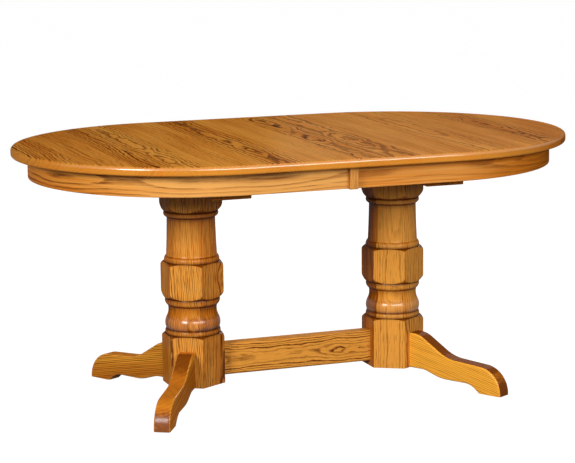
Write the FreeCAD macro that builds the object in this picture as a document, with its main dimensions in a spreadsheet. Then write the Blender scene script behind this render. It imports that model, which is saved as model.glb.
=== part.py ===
import FreeCAD, Part
import math
import os
import Sketcher
from FreeCAD import Rotation, Vector

# Double pedestal extension dining table, in millimetres, +Z up.
# The origin is on the floor, midway between the pedestals. +X runs along the table, -Y is its front.
# The two halves of the top are alike, and the left one is the right one turned half a turn about Z.

DIMENSIONS = {
    # Top and apron
    "table_length": 1676.4,
    "table_width": 1066.8,
    "table_height": 762.0,
    "top_thickness": 25.4,
    "top_edge_round": 9.5,
    "bottom_edge_round": 6.0,
    "seam_gap": 0.3,
    "top_overhang": 47.6,
    "apron_height": 63.5,
    "apron_thickness": 20.0,
    "apron_edge_round": 2.0,
    "seam_cover_width": 25.4,
    "seam_cover_depth": 16.0,
    "seam_cover_lap": 9.5,
    "seam_cover_relief": 0.4,
    "seam_cover_round": 3.0,
    # Pedestal columns
    "pedestal_spacing": 641.0,
    "hex_flats": 165.1,
    "stave_thickness": 44.45,
    "column_lift": 44.45,
    "base_block_height": 141.5,
    "waist_height": 136.0,
    "mid_block_height": 78.0,
    "shaft_height": 185.0,
    # Feet, glides and stretcher
    "foot_reach": 414.0,
    "foot_thickness": 47.6,
    "foot_top_height": 152.4,
    "foot_edge_round": 6.0,
    "foot_knee_round": 72.0,
    "foot_instep_round": 134.0,
    "foot_toe_round": 78.0,
    "foot_under_knee_round": 80.0,
    "foot_under_instep_round": 150.0,
    "foot_arch_round": 65.0,
    "glide_height": 2.0,
    "glide_radius": 15.0,
    "glide_inset": 4.0,
    "stretcher_lift": 61.0,
    "stretcher_height": 95.25,
    "stretcher_thickness": 44.5,
    "stretcher_edge_round": 6.0,
    # Cleats and slide rails
    "cleat_length": 774.7,
    "cleat_width": 114.3,
    "cleat_thickness": 25.4,
    "cleat_edge_round": 3.0,
    "rail_spread": 380.0,
    "fixed_rail_length": 800.0,
    "fixed_rail_thickness": 32.0,
    "fixed_rail_headroom": 1.0,
    "moving_rail_thickness": 28.0,
    "moving_rail_inner_reach": 350.0,
    "moving_rail_end_setback": 188.2,
    "moving_rail_side_gap": 0.5,
    "moving_rail_lift": 0.5,
    "dovetail_level": 17.0,
    "dovetail_depth": 8.0,
    "dovetail_root_height": 8.0,
    "dovetail_tip_height": 13.0,
    "dovetail_gap": 0.4,
    "slide_travel": 304.8,
    # Racks and pinions
    "gear_module": 2.5,
    "gear_height": 12.0,
    "gear_level": 46.0,
    "gear_backlash": 0.3,
    "gear_end_gap": 0.3,
    "gear_pocket_margin": 2.0,
    "rack_backing": 4.5,
    "axle_radius": 4.0,
    "axle_gap": 0.05,
    "axle_seat": 8.0,
    # Hanger bolts of the feet and the stretcher
    "bolt_radius": 4.0,
    "bolt_hole_gap": 0.4,
    "bolt_grip": 55.0,
    "bolt_tail": 3.0,
    "bolt_pair_spacing": 50.0,
    "washer_radius": 10.0,
    "washer_thickness": 1.6,
    "nut_flats": 13.0,
    "nut_height": 6.5,
    # Screws
    "lag_radius": 4.0,
    "lag_grip": 60.0,
    "lag_head_radius": 8.0,
    "lag_head_height": 5.0,
    "lag_spread_x": 80.0,
    "lag_spread_y": 90.0,
    "screw_radius": 2.5,
    "screw_head_radius": 4.8,
    "screw_head_height": 3.0,
    "rail_screw_grip": 30.0,
    "rail_screw_spacing": 60.0,
    "top_screw_grip": 15.0,
    "top_screw_wall": 25.0,
    "top_screw_end_gap": 30.0,
    "top_screw_pitch": 110.0,
    # Alignment pins in the meeting edges
    "pin_radius": 4.0,
    "pin_depth": 25.0,
    "pin_reach": 14.0,
    "pin_nose": 2.0,
    "pin_socket_gap": 0.3,
    "pin_edge_setback": 133.4,
    "pin_inner_place": 120.0,
    # Table locks
    "lock_apron_setback": 60.8,
    "lock_pivot_setback": 24.0,
    "lock_stud_setback": 10.0,
    "lock_plate_length": 40.0,
    "lock_plate_width": 60.0,
    "lock_plate_thickness": 2.0,
    "lock_plate_edge_gap": 2.0,
    "lock_pivot_radius": 3.0,
    "lock_pivot_gap": 0.05,
    "lock_rivet_radius": 5.5,
    "lock_rivet_height": 1.5,
    "lock_lever_thickness": 3.0,
    "lock_lever_gap": 0.3,
    "lock_hook_width": 8.0,
    "lock_slot_gap": 0.6,
    "lock_hub_radius": 9.0,
    "lock_thumb_length": 62.0,
    "lock_thumb_width": 12.0,
    "lock_stud_radius": 3.0,
    "lock_stud_length": 7.0,
    # Glue blocks
    "block_depth": 20.0,
    "block_height": 22.0,
    "block_length": 60.0,
    "block_seam_setback": 95.0,
    # Cuts run past the faces that they open by this much
    "overrun": 1.0,
}
PINION_TEETH = 18
RACK_SPARE_TEETH = 2
PRESSURE_ANGLE = 20.0
GEAR_DEDENDUM_SHARE = 1.25
TOP_SCREWS_PER_RAIL = 3
TOP_SCREW_SHARE = 0.75
BLOCK_SECTOR = 7.0
BLOCK_ANGLES = (-75.0, -37.0, 0.0, 37.0, 75.0)
LOCK_HOOK_START = 14.0
LOCK_HOOK_SWEEP = 80.0
LOCK_SLOT_SWEEP = 66.0
LOCK_THUMB_TURN = 165.0
HALF_TURN = 180.0
FOOT_ANGLE = 60.0
RIGHT_FOOT_ANGLES = {"front": -FOOT_ANGLE, "back": FOOT_ANGLE}
LEFT_FOOT_ANGLES = {"front": HALF_TURN + FOOT_ANGLE, "back": HALF_TURN - FOOT_ANGLE}

# Turned outlines from block to block: height and radius as shares of the turned length and of half the flats,
# then the rise of the arc that leads there as a share of the turned length, outward when positive.
WAIST_SHARES = (
    (0.081, 0.984, 0.0150),
    (0.199, 0.950, 0.0160),
    (0.449, 0.933, 0.0300),
    (0.703, 0.884, -0.0235),
    (0.864, 0.975, 0.0300),
)
WAIST_LAST_RISE_SHARE = 0.0150
SHAFT_SHARES = (
    (0.068, 0.985, 0.0135),
    (0.168, 0.921, 0.0140),
    (0.184, 0.909, 0.0),
    (0.762, 0.864, -0.0027),
    (0.784, 0.872, 0.0),
    (0.876, 0.957, 0.0280),
)
SHAFT_LAST_RISE_SHARE = 0.0124
# Corners of the foot before its bends are rounded: place along the foot as a share of its length, and height
# as a share of its top.
FOOT_UNDER_KNEE_SHARE = 0.158
FOOT_UNDER_INSTEP_SHARES = (0.347, 0.164)
FOOT_ARCH_SHARES = (0.674, 0.164)
TOE_INNER_SHARE = 0.762
TOE_TOP_SHARE = 0.516
FOOT_INSTEP_SHARES = (0.4126, 0.5965)
FOOT_KNEE_SHARE = 0.103

doc = FreeCAD.newDocument("double_pedestal_table")
sheet = doc.addObject("Spreadsheet::Sheet", "dims")
for row, (alias, size) in enumerate(DIMENSIONS.items(), start=1):
    sheet.set(f"A{row}", alias)
    sheet.set(f"B{row}", str(size))
    sheet.setAlias(f"B{row}", alias)
doc.recompute()

pieces = []

# Places that several pieces share, as expressions on the sheet.
TOP_UNDERSIDE = "(dims.table_height - dims.top_thickness)"
APRON_BOTTOM = f"({TOP_UNDERSIDE} - dims.apron_height)"
CLEAT_BOTTOM = f"({APRON_BOTTOM} - dims.cleat_thickness)"
HALF_SEAM = "(dims.seam_gap / 2)"
END_RADIUS = "(dims.table_width / 2)"
END_CENTRE = f"(dims.table_length / 2 - {END_RADIUS})"
APRON_RADIUS = f"({END_RADIUS} - dims.top_overhang)"
APRON_INNER_RADIUS = f"({APRON_RADIUS} - dims.apron_thickness)"
HALF_FLATS = "(dims.hex_flats / 2)"
HEX_RADIUS = "(dims.hex_flats / sqrt(3))"
BORE_FLATS = f"({HALF_FLATS} - dims.stave_thickness)"
PEDESTAL_X = "(dims.pedestal_spacing / 2)"
RAIL_Y = "(dims.rail_spread / 2)"
FIXED_HALF = "(dims.fixed_rail_thickness / 2)"
RAIL_FACE = f"({FIXED_HALF} + dims.moving_rail_side_gap)"
RAIL_END = "(dims.table_length / 2 - dims.moving_rail_end_setback)"
GEAR_LOW = f"({APRON_BOTTOM} + dims.gear_level - dims.gear_height / 2)"
PITCH_RADIUS = f"(dims.gear_module * {PINION_TEETH} / 2)"
TIP_RADIUS = f"({PITCH_RADIUS} + dims.gear_module)"
GEAR_PITCH = "(dims.gear_module * pi)"
RACK_ROOT = f"({PITCH_RADIUS} + dims.gear_module * {GEAR_DEDENDUM_SHARE})"
RACK_BACK = f"({RACK_ROOT} + dims.rack_backing)"
HEEL_MIDDLE = "((dims.column_lift + dims.foot_top_height) / 2)"
STRETCHER_MIDDLE = "(dims.stretcher_lift + dims.stretcher_height / 2)"
PIN_LEVEL = f"({TOP_UNDERSIDE} + dims.top_thickness / 2)"
PIN_OUTER_PLACE = f"({END_RADIUS} - dims.pin_edge_setback)"
LOCK_PIVOT = ("dims.lock_pivot_setback", f"({APRON_INNER_RADIUS} - dims.lock_apron_setback)")
LOCK_PLATE_LOW = f"({TOP_UNDERSIDE} - dims.lock_plate_thickness)"
LEVER_LOW = f"({LOCK_PLATE_LOW} - dims.lock_lever_gap - dims.lock_lever_thickness)"
SLOT_RADIUS = "(dims.lock_pivot_setback + dims.lock_stud_setback)"


def value(expression):
    """Size that an expression on the sheet has now."""
    return float(sheet.evalExpression(expression))


def bind(feature, **sizes):
    """Bind properties of a feature to expressions on the sheet."""
    for name, expression in sizes.items():
        feature.setExpression(name, expression)
    return feature


def place(feature, x="0", y="0", z="0", rotation=None):
    """Put a feature at a place given by expressions, turned first by a fixed rotation."""
    if rotation is not None:
        feature.Placement = FreeCAD.Placement(Vector(), rotation)
    for axis, expression in zip("xyz", (x, y, z)):
        feature.setExpression(f"Placement.Base.{axis}", expression)
    return feature


def finish(feature, label):
    """Name a finished piece, which is written to a file under that name."""
    feature.Label = label
    pieces.append(feature)
    return feature


def turn(angle):
    """Rotation about the vertical."""
    return Rotation(Vector(0, 0, 1), angle)


def lying(angle):
    """Rotation that lays an upright solid along a level direction."""
    return turn(angle).multiply(Rotation(Vector(0, 1, 0), 90))


def new_body(name):
    return doc.addObject("PartDesign::Body", name)


def new_sketch(body, name, role, offset=None):
    """Sketch on one of a body's own origin planes, raised along its normal by an expression."""
    sketch = body.newObject("Sketcher::SketchObject", f"{body.Name}_{name}")
    plane = next(item for item in body.Origin.OriginFeatures if item.Role == role)
    sketch.AttachmentSupport = [(plane, "")]
    sketch.MapMode = "FlatFace"
    if offset is not None:
        sketch.setExpression("AttachmentOffset.Base.z", offset)
    return sketch


def hold(sketch, kind, *reference):
    """Add a constraint whose size is the last argument, an expression on the sheet."""
    expression = reference[-1]
    constraint = Sketcher.Constraint(kind, *reference[:-1], value(expression))
    index = sketch.addConstraint(constraint)
    sketch.setExpression(f"Constraints[{index}]", expression)


def draw_outline(sketch, corners):
    """Closed outline. A corner is (x, y), or (x, y, rise) where an arc leads to it from the corner before,
    bulging to the right of the way round when the rise is positive."""
    first = sketch.GeometryCount
    points = [Vector(value(corner[0]), value(corner[1]), 0) for corner in corners]
    ends = []
    for index, corner in enumerate(corners):
        start, end = points[index - 1], points[index]
        if len(corner) == 2:
            sketch.addGeometry(Part.LineSegment(start, end), False)
            ends.append((1, 2))
            continue
        chord = end - start
        right = Vector(chord.y, -chord.x, 0).normalize()
        rise = value(corner[2])
        middle = (start + end) * 0.5 + right * rise
        arc = Part.Arc(start, middle, end) if rise > 0 else Part.Arc(end, middle, start)
        sketch.addGeometry(arc, False)
        ends.append((1, 2) if rise > 0 else (2, 1))
    for index, corner in enumerate(corners):
        edge = first + index
        before = first + (index - 1) % len(corners)
        joined = (before, ends[index - 1][1], edge, ends[index][0])
        sketch.addConstraint(Sketcher.Constraint("Coincident", *joined))
        hold(sketch, "DistanceX", edge, ends[index][1], corner[0])
        hold(sketch, "DistanceY", edge, ends[index][1], corner[1])
        if len(corner) == 3:
            past = corners[index - 1]
            chord = f"((({corner[0]}) - ({past[0]})) ^ 2 + (({corner[1]}) - ({past[1]})) ^ 2)"
            hold(sketch, "Radius", edge, f"{chord} / (8 * abs({corner[2]})) + abs({corner[2]}) / 2")


def draw_circle(sketch, x, y, radius):
    """Circle about a point, all three sizes bound to the sheet."""
    centre = Vector(value(x), value(y), 0)
    edge = sketch.addGeometry(Part.Circle(centre, Vector(0, 0, 1), value(radius)), False)
    hold(sketch, "DistanceX", edge, 3, x)
    hold(sketch, "DistanceY", edge, 3, y)
    hold(sketch, "Radius", edge, radius)


def rectangle(x_low, y_low, x_high, y_high):
    """Corners of a rectangle."""
    return [(x_low, y_low), (x_high, y_low), (x_high, y_high), (x_low, y_high)]


def pad(body, sketch, length, symmetric=False):
    feature = body.newObject("PartDesign::Pad", f"{body.Name}_pad")
    feature.Profile = sketch
    if symmetric:
        feature.SideType = "Symmetric"
    return bind(feature, Length=length)


def pocket(body, sketch, length, back=False):
    """Cut along a sketch's normal, or against it, by a length that the caller sets past the far face."""
    doc.recompute()
    volume = body.Shape.Volume
    feature = body.newObject("PartDesign::Pocket", f"{body.Name}_pocket")
    feature.Profile = sketch
    feature.Reversed = not back
    bind(feature, Length=length)
    doc.recompute()
    if not body.Shape.Volume < volume:
        raise ValueError(f"{feature.Name} cuts nothing")
    return feature


def round_edges(body, radius, chosen):
    """Round the edges of a body's last feature that a test picks out."""
    doc.recompute()
    last = body.Tip
    names = [f"Edge{number}" for number, edge in enumerate(last.Shape.Edges, start=1) if chosen(edge)]
    feature = body.newObject("PartDesign::Fillet", f"{body.Name}_round")
    feature.Base = (last, names)
    return bind(feature, Radius=radius)


def middle_of(edge):
    return edge.valueAt((edge.FirstParameter + edge.LastParameter) / 2)


def near(one, other):
    return abs(one - other) < value("dims.seam_gap") / 2


def cylinder(name, radius, height, x="0", y="0", z="0", rotation=None):
    feature = doc.addObject("Part::Cylinder", name)
    bind(feature, Radius=radius, Height=height)
    return place(feature, x, y, z, rotation)


def box(name, length, width, height, x="0", y="0", z="0", rotation=None):
    feature = doc.addObject("Part::Box", name)
    bind(feature, Length=length, Width=width, Height=height)
    return place(feature, x, y, z, rotation)


def hexagon(name, flats, height, x="0", y="0", z="0", rotation=None):
    """Six-sided prism, given across its flats."""
    feature = doc.addObject("Part::Prism", name)
    feature.Polygon = 6
    bind(feature, Circumradius=f"({flats}) / sqrt(3)", Height=height)
    return place(feature, x, y, z, rotation)


def group(name, members):
    feature = doc.addObject("Part::Compound", name)
    feature.Links = members
    return feature


def cut(name, base, tools):
    """Base less every tool."""
    feature = doc.addObject("Part::Cut", name)
    feature.Base = base
    feature.Tool = tools[0] if len(tools) == 1 else group(f"{name}_tools", tools)
    return feature


def fuse(name, members):
    feature = doc.addObject("Part::MultiFuse", name)
    feature.Shapes = members
    return feature


def along(angle, distance, start="0"):
    """Level place at a distance from a point on the X axis, as two expressions."""
    return f"{start} + ({distance}) * cos({angle})", f"({distance}) * sin({angle})"


def pedestal_joints():
    """Every face of a pedestal that a foot or the stretcher is bolted to."""
    for side, sign, angles in (("left", "-", LEFT_FOOT_ANGLES), ("right", "", RIGHT_FOOT_ANGLES)):
        for angle in angles.values():
            yield side, sign, angle, HEEL_MIDDLE, "foot"
        yield side, sign, 0.0 if sign else HALF_TURN, STRETCHER_MIDDLE, "stretcher"


def turned_outline():
    """Half outline of a column before its flats are cut: full blocks with turned lengths between."""
    base_top = "(dims.column_lift + dims.base_block_height)"
    mid_low = f"({base_top} + dims.waist_height)"
    mid_top = f"({mid_low} + dims.mid_block_height)"
    cap_low = f"({mid_top} + dims.shaft_height)"
    corners = [("0", "dims.column_lift"), (HEX_RADIUS, "dims.column_lift"), (HEX_RADIUS, base_top)]
    stretches = (
        (base_top, "dims.waist_height", WAIST_SHARES, mid_low, WAIST_LAST_RISE_SHARE),
        (mid_top, "dims.shaft_height", SHAFT_SHARES, cap_low, SHAFT_LAST_RISE_SHARE),
    )
    for low, length, shares, high, last_rise in stretches:
        if low != base_top:
            corners.append((HEX_RADIUS, low))
        for height, radius, rise in shares:
            corner = (f"{HALF_FLATS} * {radius}", f"{low} + {length} * {height}")
            corners.append(corner + (f"{length} * {rise}",) if rise else corner)
        corners.append((HEX_RADIUS, high, f"{length} * {last_rise}"))
    return corners + [(HEX_RADIUS, CLEAT_BOTTOM), ("0", CLEAT_BOTTOM)]


def make_column(side, sign):
    """Hollow pedestal column: a turned length cut to six flats, with bolt holes through its base block."""
    body = new_body(f"{side}_turned_blank")
    profile = new_sketch(body, "profile", "XZ_Plane")
    draw_outline(profile, turned_outline())
    turned = body.newObject("PartDesign::Revolution", f"{side}_turning")
    turned.Profile = profile
    turned.ReferenceAxis = (profile, ["V_Axis"])
    turned.Angle = 360
    height = f"{CLEAT_BOTTOM} - dims.column_lift"
    flats = hexagon(f"{side}_flats", "dims.hex_flats", height, z="dims.column_lift", rotation=turn(30))
    shaped = doc.addObject("Part::Common", f"{side}_shaped_column")
    shaped.Base = body
    shaped.Tool = flats
    bore = hexagon(f"{side}_bore", f"2 * {BORE_FLATS}", f"{height} + 2 * dims.overrun",
                   z="dims.column_lift - dims.overrun", rotation=turn(30))
    holes = [bore]
    for joint_side, _, angle, level, _ in pedestal_joints():
        if joint_side != side:
            continue
        for step in (-0.5, 0.5):
            x, y = along(angle, f"{BORE_FLATS} - dims.overrun")
            holes.append(cylinder(f"{side}_bolt_hole", "dims.bolt_radius + dims.bolt_hole_gap",
                                  "dims.stave_thickness + 2 * dims.overrun", x, y,
                                  f"{level} + dims.bolt_pair_spacing * {step}", lying(angle)))
    for step_x in (-0.5, 0.5):
        for step_y in (-0.5, 0.5):
            holes.append(cylinder(f"{side}_lag_hole", "dims.lag_radius", "dims.lag_grip + dims.overrun",
                                  f"dims.lag_spread_x * {step_x}", f"dims.lag_spread_y * {step_y}",
                                  f"{CLEAT_BOTTOM} - dims.lag_grip"))
    column = cut(f"{side}_column", shaped, holes)
    place(column, x=f"{sign}{PEDESTAL_X}")
    return finish(column, f"{side}_pedestal_column")


def along_foot(share):
    """Distance from the pedestal's axis at a share of the foot's length."""
    return f"({HALF_FLATS} + (dims.foot_reach - {HALF_FLATS}) * {share})"


def foot_bends():
    """Corners of the foot that are rounded into bends, each with its radius, from the heel's lower corner."""
    top = "dims.foot_top_height"
    return [
        (along_foot(FOOT_UNDER_KNEE_SHARE), "dims.column_lift", "dims.foot_under_knee_round"),
        (along_foot(FOOT_UNDER_INSTEP_SHARES[0]), f"{top} * {FOOT_UNDER_INSTEP_SHARES[1]}",
         "dims.foot_under_instep_round"),
        (along_foot(FOOT_ARCH_SHARES[0]), f"{top} * {FOOT_ARCH_SHARES[1]}", "dims.foot_arch_round"),
        ("dims.foot_reach", f"{top} * {TOE_TOP_SHARE}", "dims.foot_toe_round"),
        (along_foot(FOOT_INSTEP_SHARES[0]), f"{top} * {FOOT_INSTEP_SHARES[1]}", "dims.foot_instep_round"),
        (along_foot(FOOT_KNEE_SHARE), top, "dims.foot_knee_round"),
    ]


def foot_outline():
    """Corners of the foot from its heel, under its arch, round the toe and back over the instep."""
    bends = [bend[:2] for bend in foot_bends()]
    toe = [(along_foot(TOE_INNER_SHARE), "dims.glide_height"), ("dims.foot_reach", "dims.glide_height")]
    heel_low = (HALF_FLATS, "dims.column_lift")
    heel_top = (HALF_FLATS, "dims.foot_top_height")
    return [heel_low] + bends[:3] + toe + bends[3:] + [heel_top]


def toe_middle():
    """Middle of the toe's flat pad, from the pedestal's axis."""
    return along_foot((1 + TOE_INNER_SHARE) / 2)


def make_foot(side, sign, end, angle):
    """Foot sawn to an S curve, with rounded edges, bolt holes in its heel and a glide seat under its toe."""
    body = new_body(f"{side}_{end}_foot_blank")
    profile = new_sketch(body, "profile", "XZ_Plane")
    draw_outline(profile, foot_outline())
    pad(body, profile, "dims.foot_thickness", symmetric=True)
    for x, z, radius in foot_bends():
        bend = Vector(value(x), 0, value(z))
        round_edges(body, radius, lambda edge: near(middle_of(edge).distanceToPoint(bend), 0))
    heel = value(HALF_FLATS)
    floor = value("dims.glide_height")
    half = value("dims.foot_thickness / 2")

    def on_long_edge(edge):
        point = middle_of(edge)
        return near(abs(point.y), half) and not near(point.x, heel) and not near(point.z, floor)

    round_edges(body, "dims.foot_edge_round", on_long_edge)
    holes = [cylinder(f"{body.Name}_hole", "dims.bolt_radius", "dims.bolt_grip + dims.overrun",
                      f"{HALF_FLATS} - dims.overrun", "0",
                      f"{HEEL_MIDDLE} + dims.bolt_pair_spacing * {step}", lying(0)) for step in (-0.5, 0.5)]
    holes.append(cylinder(f"{body.Name}_glide_seat", "dims.glide_radius", "dims.glide_inset + dims.overrun",
                          toe_middle(), "0", "dims.glide_height - dims.overrun"))
    foot = cut(f"{side}_{end}_foot", body, holes)
    place(foot, x=f"{sign}{PEDESTAL_X}", rotation=turn(angle))
    return finish(foot, f"{side}_{end}_foot")


def make_glides():
    """Round glides, let into the toes and standing proud of them."""
    glides = []
    for sign, angles in (("-", LEFT_FOOT_ANGLES), ("", RIGHT_FOOT_ANGLES)):
        for angle in angles.values():
            x, y = along(angle, toe_middle(), f"{sign}{PEDESTAL_X}")
            height = "dims.glide_height + dims.glide_inset"
            glides.append(cylinder("glide", "dims.glide_radius", height, x, y))
    finish(group("glides", glides), "foot_glides")


def make_stretcher():
    """Board between the two base blocks, its long edges rounded and its ends drilled for the bolts."""
    length = f"(dims.pedestal_spacing - 2 * {HALF_FLATS})"
    body = new_body("stretcher_blank")
    profile = new_sketch(body, "section", "YZ_Plane")
    half = "dims.stretcher_thickness / 2"
    draw_outline(profile, rectangle(f"-{half}", "dims.stretcher_lift", half,
                                    "dims.stretcher_lift + dims.stretcher_height"))
    pad(body, profile, length, symmetric=True)
    round_edges(body, "dims.stretcher_edge_round", lambda edge: near(middle_of(edge).x, 0))
    holes = []
    for angle in (0.0, HALF_TURN):
        for step in (-0.5, 0.5):
            x, _ = along(angle, f"{length} / 2 - dims.bolt_grip")
            z = f"{STRETCHER_MIDDLE} + dims.bolt_pair_spacing * {step}"
            holes.append(cylinder("stretcher_hole", "dims.bolt_radius", "dims.bolt_grip + dims.overrun",
                                  x, "0", z, lying(angle)))
    finish(cut("stretcher_board", body, holes), "stretcher")


def make_bolts():
    """Hanger bolts with washers and nuts, which draw the feet and the stretcher to the columns."""
    stack = f"({BORE_FLATS} - dims.washer_thickness - dims.nut_height)"
    for kind in ("foot", "stretcher"):
        bolts, washers, nuts = [], [], []
        for side, sign, angle, level, joint in pedestal_joints():
            if joint != kind:
                continue
            start = f"{sign}{PEDESTAL_X}"
            for step in (-0.5, 0.5):
                z = f"{level} + dims.bolt_pair_spacing * {step}"
                x, y = along(angle, f"{stack} - dims.bolt_tail", start)
                length = f"{HALF_FLATS} + dims.bolt_grip - {stack} + dims.bolt_tail"
                bolts.append(cylinder(f"{kind}_bolt", "dims.bolt_radius", length, x, y, z, lying(angle)))
                x, y = along(angle, f"{BORE_FLATS} - dims.washer_thickness", start)
                disc = cylinder(f"{kind}_disc", "dims.washer_radius", "dims.washer_thickness",
                                x, y, z, lying(angle))
                washers.append(cut(f"{kind}_washer", disc, [bolts[-1]]))
                x, y = along(angle, stack, start)
                blank = hexagon(f"{kind}_nut_blank", "dims.nut_flats", "dims.nut_height",
                                x, y, z, lying(angle))
                nuts.append(cut(f"{kind}_nut", blank, [bolts[-1]]))
        finish(group(f"{kind}_bolts", bolts), f"{kind}_hanger_bolts")
        finish(group(f"{kind}_washers", washers), f"{kind}_bolt_washers")
        finish(group(f"{kind}_nuts", nuts), f"{kind}_bolt_nuts")


def lag_places(sign):
    for step_x in (-0.5, 0.5):
        for step_y in (-0.5, 0.5):
            yield f"{sign}{PEDESTAL_X} + dims.lag_spread_x * {step_x}", f"dims.lag_spread_y * {step_y}"


def rail_screw_places(sign):
    for step_x in (-0.5, 0.5):
        for step_y in (-1, 1):
            yield f"{sign}{PEDESTAL_X} + dims.rail_screw_spacing * {step_x}", f"{RAIL_Y} * {step_y}"


def make_cleats():
    """Cross cleats on the columns, with their lag screws and the screws that hold the fixed rails."""
    lags, screws = [], []
    for side, sign in (("left", "-"), ("right", "")):
        body = new_body(f"{side}_cleat_board")
        outline = new_sketch(body, "outline", "XY_Plane", CLEAT_BOTTOM)
        centre = f"{sign}{PEDESTAL_X}"
        draw_outline(outline, rectangle(f"{centre} - dims.cleat_width / 2", "-dims.cleat_length / 2",
                                        f"{centre} + dims.cleat_width / 2", "dims.cleat_length / 2"))
        pad(body, outline, "dims.cleat_thickness")
        bottom = value(CLEAT_BOTTOM)
        round_edges(body, "dims.cleat_edge_round", lambda edge: near(middle_of(edge).z, bottom))
        holes = []
        for x, y in lag_places(sign):
            low = f"{CLEAT_BOTTOM} - dims.lag_grip"
            shank = cylinder("lag_shank", "dims.lag_radius",
                             "dims.lag_grip + dims.cleat_thickness - dims.lag_head_height", x, y, low)
            head = cylinder("lag_head", "dims.lag_head_radius", "dims.lag_head_height", x, y,
                            f"{APRON_BOTTOM} - dims.lag_head_height")
            lags.append(fuse("lag_screw", [shank, head]))
            holes.append(lags[-1])
        for x, y in rail_screw_places(sign):
            shank = cylinder("rail_screw_shank", "dims.screw_radius",
                             "dims.cleat_thickness + dims.rail_screw_grip", x, y, CLEAT_BOTTOM)
            head = cylinder("rail_screw_head", "dims.screw_head_radius", "dims.screw_head_height",
                            x, y, CLEAT_BOTTOM)
            screws.append(fuse("rail_screw", [shank, head]))
            holes.append(screws[-1])
        finish(cut(f"{side}_cleat_drilled", body, holes), f"{side}_cleat")
    finish(group("lag_screws", lags), "cleat_lag_screws")
    finish(group("rail_screws", screws), "fixed_rail_screws")
    return screws


def dovetail(face, inward, gap):
    """Corners of a dovetail that runs in from a side face, from its lower root corner round its tip."""
    middle = "dims.dovetail_level"
    tip = f"{face} {inward} dims.dovetail_depth"
    root_half = f"(dims.dovetail_root_height / 2 - {gap})"
    tip_half = f"(dims.dovetail_tip_height / 2 - {gap})"
    return [(face, f"{middle} - {root_half}"), (tip, f"{middle} - {tip_half}"),
            (tip, f"{middle} + {tip_half}"), (face, f"{middle} + {root_half}")]


def make_fixed_rail(end, sign, screws):
    """Rail on the cleats with a dovetail groove down each side and a pocket through it for the pinion."""
    body = new_body(f"{end}_fixed_rail_bar")
    section = new_sketch(body, "section", "YZ_Plane")
    height = "dims.apron_height - dims.fixed_rail_headroom"
    left, right = f"-{FIXED_HALF}", FIXED_HALF
    corners = [(left, "0"), (right, "0")] + dovetail(right, "-", "0") + [(right, height), (left, height)]
    corners += dovetail(left, "+", "0")[::-1]
    draw_outline(section, corners)
    pad(body, section, "dims.fixed_rail_length", symmetric=True)
    half_pocket = f"{TIP_RADIUS} + dims.gear_pocket_margin"
    gear_half = "(dims.gear_height / 2 + dims.gear_end_gap)"
    window = new_sketch(body, "window", "XZ_Plane", f"-{FIXED_HALF} - dims.overrun")
    draw_outline(window, rectangle(f"-({half_pocket})", f"dims.gear_level - {gear_half}",
                                   half_pocket, f"dims.gear_level + {gear_half}"))
    pocket(body, window, "dims.fixed_rail_thickness + 2 * dims.overrun")
    place(body, y=f"{sign}{RAIL_Y}", z=APRON_BOTTOM)
    rail = cut(f"{end}_fixed_rail_drilled", body, screws + [make_axle(end, sign)])
    return finish(rail, f"{end}_fixed_rail")


def make_axle(end, sign):
    """Upright axle through the pinion, seated in the rail above and below the pocket."""
    low = f"{APRON_BOTTOM} + dims.gear_level - dims.gear_height / 2 - dims.axle_seat"
    axle = cylinder(f"{end}_axle", "dims.axle_radius", "dims.gear_height + 2 * dims.axle_seat",
                    "0", f"{sign}{RAIL_Y}", low)
    return finish(axle, f"{end}_pinion_axle")


def involute_half_angle(radius):
    """Half angle of a pinion tooth at a radius, in radians, thinned for backlash."""
    pressure = math.radians(PRESSURE_ANGLE)
    pitch_radius = value(PITCH_RADIUS)
    local = math.acos(min(1, pitch_radius * math.cos(pressure) / radius))
    spread = math.tan(pressure) - pressure - math.tan(local) + local
    return math.pi / 2 / PINION_TEETH + spread - value("dims.gear_backlash") / 4 / pitch_radius


def make_pinion(end, sign):
    """Spur pinion: a disc with one tooth space cut and repeated round it, and a bore for the axle."""
    body = new_body(f"{end}_pinion_gear")
    blank = new_sketch(body, "blank", "XY_Plane")
    draw_circle(blank, "0", "0", TIP_RADIUS)
    pad(body, blank, "dims.gear_height")
    root = f"({PITCH_RADIUS} - dims.gear_module * {GEAR_DEDENDUM_SHARE})"
    space = []
    for radius in (root, PITCH_RADIUS, TIP_RADIUS):
        angle = math.pi / PINION_TEETH - involute_half_angle(value(radius))
        space.append((f"{radius} * {math.sin(angle)}", f"{radius} * {math.cos(angle)}"))
    space.append((space[-1][0], f"{TIP_RADIUS} + dims.overrun"))
    mirrored = [(f"-{x}", y) for x, y in reversed(space)]
    gap = new_sketch(body, "tooth_space", "XY_Plane")
    draw_outline(gap, space + mirrored)
    first = pocket(body, gap, "dims.gear_height + dims.overrun")
    ring = body.newObject("PartDesign::PolarPattern", f"{end}_teeth")
    ring.Originals = [first]
    ring.Axis = (gap, ["N_Axis"])
    ring.Angle = 360
    ring.Occurrences = PINION_TEETH
    body.Tip = ring
    bore = new_sketch(body, "bore", "XY_Plane")
    draw_circle(bore, "0", "0", "dims.axle_radius + dims.axle_gap")
    pocket(body, bore, "dims.gear_height + dims.overrun")
    place(body, y=f"{sign}{RAIL_Y}", z=GEAR_LOW)
    finish(body, f"{end}_pinion")


def half_place(feature, half, x="0", y="0", z="0", rotation=None):
    """Place of a piece of the right half, or that place turned half a turn about Z for the left one."""
    spin = rotation or Rotation()
    if half == "right":
        return place(feature, x, y, z, spin)
    return place(feature, f"-({x})", f"-({y})", z, turn(HALF_TURN).multiply(spin))


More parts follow.
